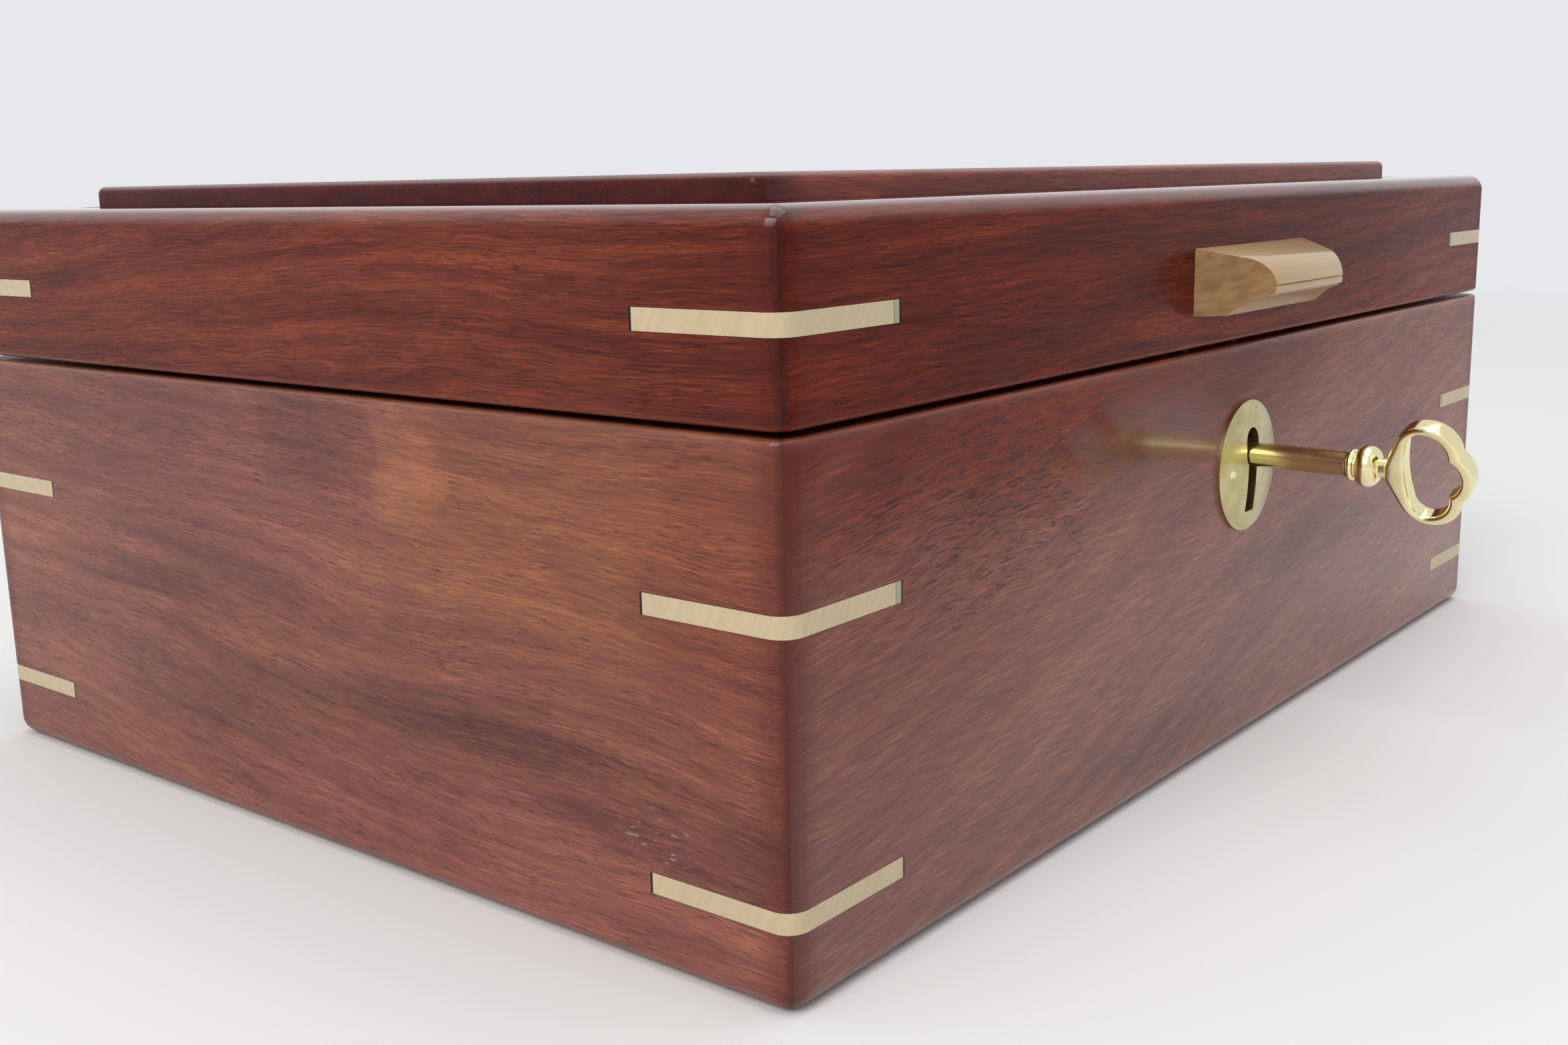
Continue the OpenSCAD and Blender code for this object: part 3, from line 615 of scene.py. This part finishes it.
# %% Choose the boards of the lid
LID_RED = (0.132, 0.030, 0.018)
wood["lid_front"] = hardwood(
    "hardwood_lid_front", "X", 26.2, -0.03, (0.113, 0.016, 0.008), LID_SPLINES,
    # painted sheen: the far end of the lid's front made paler and greyer
    tints=[(spot(125.0, 95.0, 60.0, 50.0), (1.25, 2.0, 3.0))], shine=0.04,
    lacquer=(0.09, 0.05), painted_corner_shade=0.45, contrast=1.1, streakiness=1.35,
)
wood["lid_left"] = hardwood(
    "hardwood_lid_left", "Y", 43.8, 0.02, (0.130, 0.026, 0.015), LID_SPLINES,
    tints=[(spot(-104.0, 96.0, 36.0, 40.0), (0.88, 0.74, 0.70))], shine=0.07,
    painted_corner_shade=0.45, contrast=1.1, streakiness=1.25,
)
wood["lid_right"] = hardwood("hardwood_lid_right", "Y", 31.5, 0.03, LID_RED, LID_SPLINES, shine=0.07)
wood["lid_back"] = hardwood("hardwood_lid_back", "X", 37.3, 0.04, LID_RED, LID_SPLINES, shine=0.07)
wood["lid_panel"] = hardwood(
    "hardwood_lid_panel", "X", 58.6, 0.0, (0.198, 0.043, 0.031),
    # painted shade: the panel's left end darkened, as it faces away from the light
    tints=[(spot(-129.0, LID_TOP / MM, 20.0, 30.0), (0.32, 0.13, 0.14))],
    # painted highlight along the panel's rounded top edge
    crest_at=(PANEL_TOP, 16.5 * MM), shine=0.05, lacquer=(0.30, 0.06), top_gloss=0.0,
)
print("hardwood boards:", len(wood))

# %% [markdown]
# ## The splines
#
# Each spline is a slip of pale, close-grained timber glued into a saw kerf. Its grain runs
# straight across the corner, so the two ends that show have a faint slanting figure. A kerf ends
# a little past its slip, so at the front the tips of all but the lowest splines are filled with a
# grey-green plug, with a dark line of glue before it.

# %% Make the spline timber
PLUG = 1.25 * MM
PLUGS_ABOVE = 35.0 * MM         # the lowest splines have no plug


def plug_places(recipe):
    """Where the plugs are, and the line of glue before them."""
    x, y, z = recipe.place()
    from_corner = (HALF_W - abs(x)) + (HALF_D - abs(y))
    on_front = recipe.step(y, 0.5 * MM - HALF_D, 1.0 * MM - HALF_D, 1.0, 0.0)
    on_front = on_front * recipe.step(z, PLUGS_ABOVE, PLUGS_ABOVE + 1.0 * MM)
    start = SPLINE_REACH - PLUG
    plug = on_front * recipe.step(from_corner, start, start + 0.1 * MM)
    line = on_front * recipe.step(abs(from_corner - start), 0.05 * MM, 0.16 * MM, 0.7, 0.0)
    return plug, line


def spline_timber(name):
    recipe = Recipe(name)
    x, y, z = recipe.place()
    slant = abs(x) - abs(y)
    lines = recipe.vector(slant * 900.0 + z * 420.0, z * 60.0, (abs(x) + abs(y)) * 25.0)
    lines = recipe.noise(lines, 2.0)
    cloud = recipe.noise(recipe.vector(x * 160.0, y * 160.0, z * 300.0), 3.0)
    colour = recipe.mix(lines, (0.455, 0.350, 0.205), (0.590, 0.485, 0.310))
    colour = recipe.mix(recipe.step(cloud, 0.35, 0.75) * 0.5, colour, (0.530, 0.420, 0.255))
    plug, line = plug_places(recipe)
    colour = recipe.mix(plug, colour, (0.330, 0.320, 0.190))
    colour = recipe.mix(line, colour, (0.12, 0.10, 0.06))
    return recipe.finish(
        Base_Color=colour, Roughness=0.36, Normal=recipe.bump(lines, 0.02 * MM, 0.3),
        Specular_IOR_Level=0.3, Coat_Weight=0.15, Coat_Roughness=0.10,
    )


spline_wood = spline_timber("spline_timber")
print("spline timber ready")

# %% [markdown]
# ## The lift's timber
#
# The lift is a straw-coloured hardwood under gloss lacquer. Its grain runs along the lift, and
# the two raked ends show end grain, which soaks up more finish and so looks deeper and browner.
# The ends are found by how fast the surface leaves the length of the lift, which is what
# the normal's X tells.

# %% Make the lift's timber
def lift_timber(name):
    recipe = Recipe(name)
    x, y, z = recipe.place()
    lines = recipe.noise(recipe.vector(x * 60.0, y * 900.0, z * 900.0), 3.0, 0.6)
    cloud = recipe.noise(recipe.vector(x * 70.0, y * 240.0, z * 240.0), 2.0)
    face = recipe.mix(lines, (0.310, 0.180, 0.070), (0.510, 0.340, 0.155))
    face = recipe.mix(recipe.step(cloud, 0.4, 0.7) * 0.5, face, (0.450, 0.275, 0.115))
    rings = recipe.vector(x * 200.0, y * 260.0 - z * 120.0, z * 700.0 + y * 260.0)
    rings = recipe.step(recipe.noise(rings, 2.0, 0.4), 0.20, 0.80)
    end_grain = recipe.mix(rings, (0.178, 0.080, 0.020), (0.300, 0.162, 0.051))
    normal = recipe.add("NewGeometry", {}, {}, "Normal")
    turned_out = abs(recipe.add("SeparateXYZ", {}, {"Vector": normal}, "X"))
    colour = recipe.mix(recipe.step(turned_out, 0.25, 0.5), face, end_grain)
    return recipe.finish(
        Base_Color=colour, Roughness=0.30, Normal=recipe.bump(lines, 0.02 * MM, 0.3),
        Specular_IOR_Level=0.3, Coat_Weight=0.5, Coat_Roughness=0.06,
    )


lift_wood = lift_timber("lift_timber")
print("lift timber ready")

# %% [markdown]
# ## The metals
#
# The key is cast brass, bright at its bow, ball and collar and duller on the shank, as are the
# screws, plates and hinges. The round escutcheon is brass too, with a finely brushed face that is
# domed a little. The lock's post and the hinge pins are steel. A metal's colour lives in its
# reflections, so the recipes stay simple: a base colour, a roughness that varies a little with
# handling, and a very shallow relief.

# %% Make the metals
FINE = 2600.0                   # the finest scratches, as waves in a metre
DOME = 5.0                      # how much the escutcheon's reflections bend outwards
SATIN = 0.10
SATIN_FROM = LID_FACE - 20.0 * MM
plate_low, plate_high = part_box("escutcheon")
PLATE_MIDDLE = 0.5 * (plate_low.z + plate_high.z)


def metal(name, colour, tint, rough_range, scale, relief, dome_at=None, satin_from=None):
    """Metal that wear tints and dulls in places, within a range of roughness.

    Its reflections can bend as on a dome at a height, and its polish can be duller behind a
    place along y.
    """
    recipe = Recipe(name)
    x, y, z = recipe.place()
    wear = recipe.noise(recipe.vector(x * scale, y * scale, z * scale), 4.0, 0.6)
    fine = recipe.noise(recipe.vector(x * FINE, y * FINE, z * FINE), 2.0)
    height = fine * (0.25 * relief)
    roughness = recipe.step(wear, 0.25, 0.75, *rough_range)
    if dome_at:
        height = height - (x ** 2.0 + (z - dome_at) ** 2.0) * DOME
    if satin_from:
        dull = recipe.step(y, satin_from - 0.5 * MM, satin_from + 0.5 * MM, 0.0, SATIN)
        roughness = roughness + dull
    return recipe.finish(
        Base_Color=recipe.mix(recipe.step(wear, 0.3, 0.7), colour, tint), Metallic=1.0,
        Roughness=roughness, Normal=recipe.bump(height, 1.0),
    )


polished_brass = metal("polished_brass", (0.93, 0.86, 0.52), (0.88, 0.78, 0.42), (0.11, 0.18),
                       220.0, 0.004 * MM, satin_from=SATIN_FROM)
dull_brass = metal("dull_brass", (0.60, 0.53, 0.28), (0.50, 0.43, 0.22), (0.26, 0.38),
                   260.0, 0.012 * MM)
plate_brass = metal("brushed_plate_brass", (0.60, 0.53, 0.28), (0.48, 0.41, 0.20), (0.22, 0.34),
                    160.0, 0.012 * MM, dome_at=PLATE_MIDDLE)
steel = metal("drawn_steel", (0.56, 0.56, 0.55), (0.46, 0.46, 0.46), (0.22, 0.34),
              400.0, 0.008 * MM)
print("metals ready")

# %% [markdown]
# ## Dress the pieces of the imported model
#
# Their shapes are right, so they only need their finish: the material goes straight into each
# object's own slots.

# %% Assign the finishes
finishes = dict(wood)
for name in nodes:
    if "spline" in name:
        finishes[name] = spline_wood
    elif name == "lid_lift":
        finishes[name] = lift_wood
    elif name == "escutcheon":
        finishes[name] = plate_brass
    elif name in ("lock_cap", "lock_bolt", "link_staples"):
        finishes[name] = dull_brass
    elif name in ("lock_post", "hinge_pins"):
        finishes[name] = steel
    elif name not in finishes:
        finishes[name] = polished_brass


def dress(piece, material):
    piece.data.materials.clear()
    piece.data.materials.append(material)


for name, material in finishes.items():
    dress(nodes[name], material)
print("dressed:", len(finishes))

# %% [markdown]
# ## Ease the edges of the lift
#
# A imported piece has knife-sharp edges. On the real lift they are sanded round, and each one
# catches a thin bright line. To get that, a copy of the piece is made, its loose triangles are
# merged and joined back into whole faces, and then the edges are bevelled in edit mode.

# %% Copy a piece so that its edges can be eased
NEARLY_FLAT = radians(0.5)      # faces that meet at less than this become one


def eased_copy(node, name):
    """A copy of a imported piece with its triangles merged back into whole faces."""
    bpy.ops.object.select_all(action="DESELECT")
    copy = nodes[node].copy()
    copy.data = nodes[node].data.copy()
    copy.name = name
    copy.data.name = name
    copy.parent = None
    copy.matrix_world = Matrix.Identity(4)
    for mark in ("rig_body", "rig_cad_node"):     # a copy is a new piece and no CAD node
        if mark in copy:
            del copy[mark]
    bpy.context.scene.collection.objects.link(copy)
    bpy.context.view_layer.objects.active = copy
    copy.select_set(True)
    bpy.ops.object.mode_set(mode="EDIT")
    bpy.ops.mesh.select_all(action="SELECT")
    bpy.ops.mesh.customdata_custom_splitnormals_clear()
    bpy.ops.mesh.remove_doubles(threshold=0.0005 * MM)
    bpy.ops.mesh.dissolve_limited(angle_limit=NEARLY_FLAT)
    bpy.ops.mesh.select_all(action="DESELECT")
    bpy.ops.object.mode_set(mode="OBJECT")
    return copy


print("eased copies ready")


# %% Bevel chosen edges and smooth a piece
def bevel_edges(piece, wanted, width, segments):
    """Bevels the edges whose two ends and two face normals pass the test wanted."""
    mesh = piece.data
    normals_at = {}
    for face in mesh.polygons:
        for key in face.edge_keys:
            normals_at.setdefault(key, []).append(face.normal.copy())
    bpy.ops.object.mode_set(mode="EDIT")
    bpy.ops.mesh.select_mode(type="EDGE")
    bpy.ops.mesh.select_all(action="DESELECT")
    bpy.ops.object.mode_set(mode="OBJECT")
    count = 0
    for edge in mesh.edges:
        ends = [mesh.vertices[v].co for v in edge.vertices]
        normals = normals_at.get(tuple(sorted(edge.vertices)), [])
        edge.select = len(normals) == 2 and wanted(ends, normals)
        count += edge.select
    bpy.ops.object.mode_set(mode="EDIT")
    bpy.ops.mesh.bevel(offset=width, segments=segments, profile=0.5, affect="EDGES", clamp_overlap=True)
    bpy.ops.object.mode_set(mode="OBJECT")
    return count


def smooth(piece, angle):
    """Shades smooth, except at edges that turn by more than this many degrees."""
    bpy.ops.object.select_all(action="DESELECT")
    piece.select_set(True)
    bpy.context.view_layer.objects.active = piece
    bpy.ops.object.shade_smooth_by_angle(angle=radians(angle))
    piece.select_set(False)


print("edge helpers ready")

# %% Ease the lift
LIFT_EASE = 0.55 * MM
LIFT_SHARP = cos(radians(30.0))
GLUED_WITHIN = 0.1 * MM
lift = eased_copy("lid_lift", "lift_eased")


def lift_edge(ends, normals):
    """True for a sharp edge that isn't glued against the lid."""
    stands_out = max(abs(end.y - LID_FACE) for end in ends) > GLUED_WITHIN
    return stands_out and normals[0].dot(normals[1]) < LIFT_SHARP


count = bevel_edges(lift, lift_edge, LIFT_EASE, 4)
dress(lift, lift_wood)
smooth(lift, 40.0)
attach(lift, "lid")
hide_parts("lid_lift")
print("lift edges eased:", count)

# %% [markdown]
# ## The key
#
# The key of a small box lock is one casting: a pipe shank with a collar and a ball, and a flat
# bow with three lobes, all polished bright. In a mirror finish every flat of a coarse mesh would
# show, so the key is drawn afresh with fine arcs. A lathe part is best made by spinning its half
# section, and the section is drawn by extruding one vertex from point to point. The bow is a flat
# outline with a hole: it is drawn the same way, turned into a flat curve, and given its thickness
# and its rolled edges by the curve's own extrusion and bevel.

# %% Helpers for drawing outlines
def arc(centre, radius, start, end, steps):
    """Points of an arc; angles in degrees."""
    turns = [radians(start + (end - start) * i / steps) for i in range(steps + 1)]
    return [(centre[0] + radius * cos(t), centre[1] + radius * sin(t)) for t in turns]


def draw_chain(points, name):
    """Draws edges from point to point by extruding a single vertex."""
    bpy.ops.object.select_all(action="DESELECT")
    bpy.ops.mesh.primitive_plane_add(size=MM)
    piece = bpy.context.object
    piece.name = name
    bpy.ops.object.mode_set(mode="EDIT")
    bpy.ops.mesh.select_mode(type="VERT")
    bpy.ops.mesh.merge(type="CENTER")
    bpy.ops.transform.translate(value=points[0])
    for here, there in zip(points, points[1:]):
        bpy.ops.mesh.extrude_region_move(TRANSFORM_OT_translate={"value": there - here})
    bpy.ops.mesh.select_all(action="SELECT")
    bpy.ops.mesh.remove_doubles(threshold=0.002 * MM)
    bpy.ops.object.mode_set(mode="OBJECT")
    return piece


def close_up(piece):
    """Merges the seams of a finished shell and turns its faces outwards."""
    bpy.context.view_layer.objects.active = piece
    bpy.ops.object.mode_set(mode="EDIT")
    bpy.ops.mesh.select_all(action="SELECT")
    bpy.ops.mesh.remove_doubles(threshold=0.001 * MM)
    bpy.ops.mesh.normals_make_consistent(inside=False)
    bpy.ops.object.mode_set(mode="OBJECT")


print("drawing helpers ready")

# %% Spin the shank, the collar and the ball
KEY_END = -13.93                # in millimetres along the key, from the front of the lid
BOW_ROOT = 27.4
SHANK_R, BORE_R, BORE_DEEP, END_ROUND = 2.35, 1.5, 8.0, 0.3
COLLAR_AT, COLLAR_R, COLLAR_HALF, FILLET = 21.25, 3.0, 0.75, 0.35
BALL_AT, BALL_R, BALL_HALF = 24.1, 3.9, 2.15
NECK_R, NECK_AFTER_BALL, NECK_INTO_BOW = 1.8, 0.2, 1.5

bore_end, fillet_at = KEY_END + BORE_DEEP, COLLAR_AT - COLLAR_HALF - FILLET
neck_start, neck_end = BALL_AT + BALL_HALF + NECK_AFTER_BALL, BOW_ROOT + NECK_INTO_BOW
section = [(0.0, bore_end), (BORE_R, bore_end), (BORE_R, KEY_END)]
section += arc((SHANK_R - END_ROUND, KEY_END + END_ROUND), END_ROUND, -90, 0, 4)
section += [(SHANK_R, fillet_at)]
section += arc((SHANK_R + FILLET, fillet_at), FILLET, 180, 90, 3)
section += arc((COLLAR_R - COLLAR_HALF, COLLAR_AT), COLLAR_HALF, -90, 75, 12)
section += arc((BALL_R - BALL_HALF, BALL_AT), BALL_HALF, -72, 84, 28)
section += [(NECK_R, neck_start), (NECK_R, neck_end), (0.0, neck_end)]

turned = draw_chain([Vector((r, 0.0, at)) * MM for r, at in section], "key_turning")
bpy.ops.object.mode_set(mode="EDIT")
bpy.ops.mesh.select_all(action="SELECT")
bpy.ops.mesh.spin(steps=72, angle=radians(360.0), center=(0.0, 0.0, 0.0), axis=(0.0, 0.0, 1.0))
bpy.ops.object.mode_set(mode="OBJECT")
close_up(turned)
print("faces on the turned part:", len(turned.data.polygons))


# %% Helpers for the bow's curves
def meeting(lobe, lobe_r, nose, nose_r):
    """Where the lobe's circle meets the nose's, on the outer side, as angles on the two."""
    gap = nose - lobe
    on_line = (lobe_r ** 2 - nose_r ** 2 + gap.length_squared) / (2.0 * gap.length)
    point = lobe + gap.normalized() * on_line
    point -= Vector((gap.y, -gap.x)).normalized() * sqrt(lobe_r ** 2 - on_line ** 2)
    return [degrees(atan2(point.y - centre.y, point.x - centre.x)) for centre in (lobe, nose)]


def curved(start, towards, end, steps):
    """Points of a smooth bend from start to end that leans towards a third point."""
    shares = [i / steps for i in range(steps + 1)]
    return [tuple(start * (1 - t) ** 2 + towards * 2 * t * (1 - t) + end * t ** 2) for t in shares]


def mirrored(half):
    """Closes an upper half outline with its mirror image below the key's middle."""
    whole = half + [(x, -y) for x, y in reversed(half)]
    return whole + whole[:1]


print("bow helpers ready")

# %% Draw the outline of the bow
BOW_LEN, ROOT_HALF = 16.0, 1.3  # in millimetres from the bow's root, as are the circles' middles
LOBE, LOBE_R = Vector((7.9, 4.4)), 5.9
NOSE = Vector((10.0, 0.0))
NOSE_R = BOW_LEN - NOSE.x

tangent = degrees(atan2(LOBE.y, LOBE.x) + asin(LOBE_R / LOBE.length))
on_lobe, on_nose = meeting(LOBE, LOBE_R, NOSE, NOSE_R)
lobe_arc = arc(LOBE, LOBE_R, tangent + 90.0, on_lobe, 48)
outline = mirrored([(0.0, ROOT_HALF)] + lobe_arc + arc(NOSE, NOSE_R, on_nose, 0.0, 14))
print("points on the outline:", len(outline))

# %% Draw the opening in the bow
RIM, HOLE_BACK, WEB = 1.6, Vector((0.7, 0.0)), 4.35
WEB_ROUND, WEB_BULGE, WEB_LEAN = 2.4, 0.5, 0.6

lobe, lobe_r, nose, nose_r = LOBE - HOLE_BACK, LOBE_R - RIM, NOSE - HOLE_BACK, NOSE_R - RIM
on_lobe, on_nose = meeting(lobe, lobe_r, nose, nose_r)
web = degrees(acos((WEB - lobe.x) / lobe_r))
corner = Vector((WEB, lobe.y + lobe_r * sin(radians(web))))
web_end = corner - Vector((0.0, WEB_ROUND))
middle = Vector((WEB - WEB_BULGE, 0.0))
lobe_arc = arc(lobe, lobe_r, web - degrees(WEB_ROUND / lobe_r), on_lobe, 36)
web_curve = curved(middle, Vector((middle.x, web_end.y * WEB_LEAN)), web_end, 8)
corner_curve = curved(web_end, corner, Vector(lobe_arc[0]), 10)
hole = mirrored(web_curve + corner_curve + lobe_arc + arc(nose, nose_r, on_nose, 0.0, 12))
print("points on the opening:", len(hole))

# %% Give the bow its thickness
BOW_HALF, BOW_ROLL = 2.0, 0.75  # half the thickness, and the radius of the rolled edges

bow = draw_chain([Vector((x, y, 0.0)) * MM for x, y in outline], "key_bow")
opening = draw_chain([Vector((x, y, 0.0)) * MM for x, y in reversed(hole)], "key_bow_opening")
for part in (bow, opening):
    part.select_set(True)
bpy.context.view_layer.objects.active = bow
bpy.ops.object.join()
bpy.ops.object.convert(target="CURVE")
curve = bow.data
curve.dimensions = "2D"
curve.fill_mode = "BOTH"
curve.extrude = (BOW_HALF - BOW_ROLL) * MM
curve.bevel_depth = BOW_ROLL * MM
curve.offset = -BOW_ROLL * MM
curve.bevel_resolution = 5
bpy.ops.object.convert(target="MESH")
upright = Matrix.Rotation(radians(-90.0), 4, "Y")
bow.data.transform(Matrix.Translation((0.0, 0.0, BOW_ROOT * MM)) @ upright)
close_up(bow)
print("faces on the bow:", len(bow.data.polygons))

# %% Shape the bit
BIT_R, BIT_HALF, BIT_LEN, BIT_EASE = 9.8, 1.5, 6.06, 0.25
bpy.ops.object.select_all(action="DESELECT")
bpy.ops.mesh.primitive_cube_add(size=1.0)
bit = bpy.context.object
bit.name = "key_bit"
bpy.ops.object.mode_set(mode="EDIT")
bpy.ops.transform.resize(value=(2.0 * BIT_HALF * MM, BIT_R * MM, BIT_LEN * MM))
bpy.ops.transform.translate(value=(0.0, -0.5 * BIT_R * MM, (KEY_END + 0.5 * BIT_LEN) * MM))
bpy.ops.mesh.bevel(offset=BIT_EASE * MM, segments=2, affect="EDGES")
bpy.ops.object.mode_set(mode="OBJECT")
print("faces on the bit:", len(bit.data.polygons))

# %% Join the key and put it in the lock
KEY_TURN, KEY_DROOP = radians(23.0), radians(1.0)   # it droops a little in the lock's play
key_joint = next(joint for joint in frame["joints"] if joint["name"] == "key_turn")
key_at = Vector((0.0, LID_FACE, key_joint["pos_m"][2]))
laid_down = Euler((radians(90.0) + KEY_DROOP, 0.0, 0.0)).to_matrix()
key_lies = laid_down @ Euler((0.0, 0.0, KEY_TURN)).to_matrix()

for part in (turned, bow, bit):
    part.select_set(True)
bpy.context.view_layer.objects.active = turned
bpy.ops.object.join()
key = turned
key.name = "key_polished"
key.data.transform(Matrix.Translation(key_at) @ key_lies.to_4x4())
dress(key, polished_brass)
smooth(key, 35.0)
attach(key, "key")
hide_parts("key")
print("faces on the key:", len(key.data.polygons))

# %% [markdown]
# ## The studio
#
# A pale table under an even, pale sky lights the box softly from every side, with a broad lamp
# like a window to the left and one like a ceiling panel above. The table fades into the
# background by distance, so no horizon shows. The background is a colour of its own. The camera
# and mirror reflections see it, and it adds no light to the wood.

# %% Lay the table
PAPER = (0.760, 0.755, 0.742)
BACKGROUND = (0.790, 0.805, 0.825)
TABLE_SIZE = 8.0
TABLE_DROP = 0.1 * MM           # keeps the table's face clear of the box's underside
FADE_FROM, FADE_TO = 0.35, 1.5  # metres from the middle of the box

bpy.ops.object.select_all(action="DESELECT")
bpy.ops.mesh.primitive_plane_add(size=TABLE_SIZE, location=(0.0, 0.0, -TABLE_DROP))
table = bpy.context.object
table.name = "table_top"
recipe = Recipe("white_table")
x, y, z = recipe.place()
distance = (x ** 2.0 + y ** 2.0) ** 0.5
matt = recipe.add("BsdfDiffuse", {}, {"Color": (*PAPER, 1.0)})
glow = recipe.add("Emission", {}, {"Color": (*BACKGROUND, 1.0), "Strength": 1.0})
fade = recipe.step(distance, FADE_FROM, FADE_TO)
dress(table, recipe.close(recipe.add("MixShader", {}, {0: fade, 1: matt, 2: glow})))
print("table laid")

# %% Light the sky
SKY = (0.93, 0.96, 1.0)
SKY_STRENGTH = 0.75

world = bpy.data.worlds.new("studio")
world.use_nodes = True
bpy.context.scene.world = world
tree = world.node_tree
tree.nodes.clear()


def even_light(colour, strength):
    node = tree.nodes.new("ShaderNodeBackground")
    node.inputs["Color"].default_value = (*colour, 1.0)
    node.inputs["Strength"].default_value = strength
    return node.outputs[0]


def either(first, second):
    """1 for a ray of either of two kinds."""
    node = tree.nodes.new("ShaderNodeMath")
    node.operation = "MAXIMUM"
    tree.links.new(first, node.inputs[0])
    tree.links.new(second, node.inputs[1])
    return node.outputs[0]


rays = tree.nodes.new("ShaderNodeLightPath").outputs
seen = either(rays["Is Camera Ray"], either(rays["Is Glossy Ray"], rays["Is Transmission Ray"]))
shown = tree.nodes.new("ShaderNodeMixShader")
tree.links.new(seen, shown.inputs[0])
tree.links.new(even_light(SKY, SKY_STRENGTH), shown.inputs[1])
tree.links.new(even_light(BACKGROUND, 1.0), shown.inputs[2])
output = tree.nodes.new("ShaderNodeOutputWorld")
tree.links.new(shown.outputs[0], output.inputs["Surface"])
print("sky lit")

# %% Hang the lamps
AIM = Vector((0.0, 0.0, 0.05))  # about the middle of the box


def soft_lamp(name, place, size, power, colour):
    bpy.ops.object.light_add(type="AREA", location=place)
    lamp = bpy.context.object
    lamp.name = name
    lamp.data.shape = "RECTANGLE"
    lamp.data.size, lamp.data.size_y = size
    lamp.data.energy = power
    lamp.data.color = colour
    lamp.rotation_euler = (AIM - Vector(place)).to_track_quat("-Z", "Y").to_euler()


soft_lamp("window", (-1.3, -0.35, 1.1), (1.0, 1.0), 13.0, (1.0, 0.98, 0.95))
soft_lamp("ceiling", (0.1, -0.2, 1.7), (1.6, 1.2), 9.0, (1.0, 1.0, 1.0))
bpy.context.scene.view_settings.view_transform = "Standard"
print("studio lit")
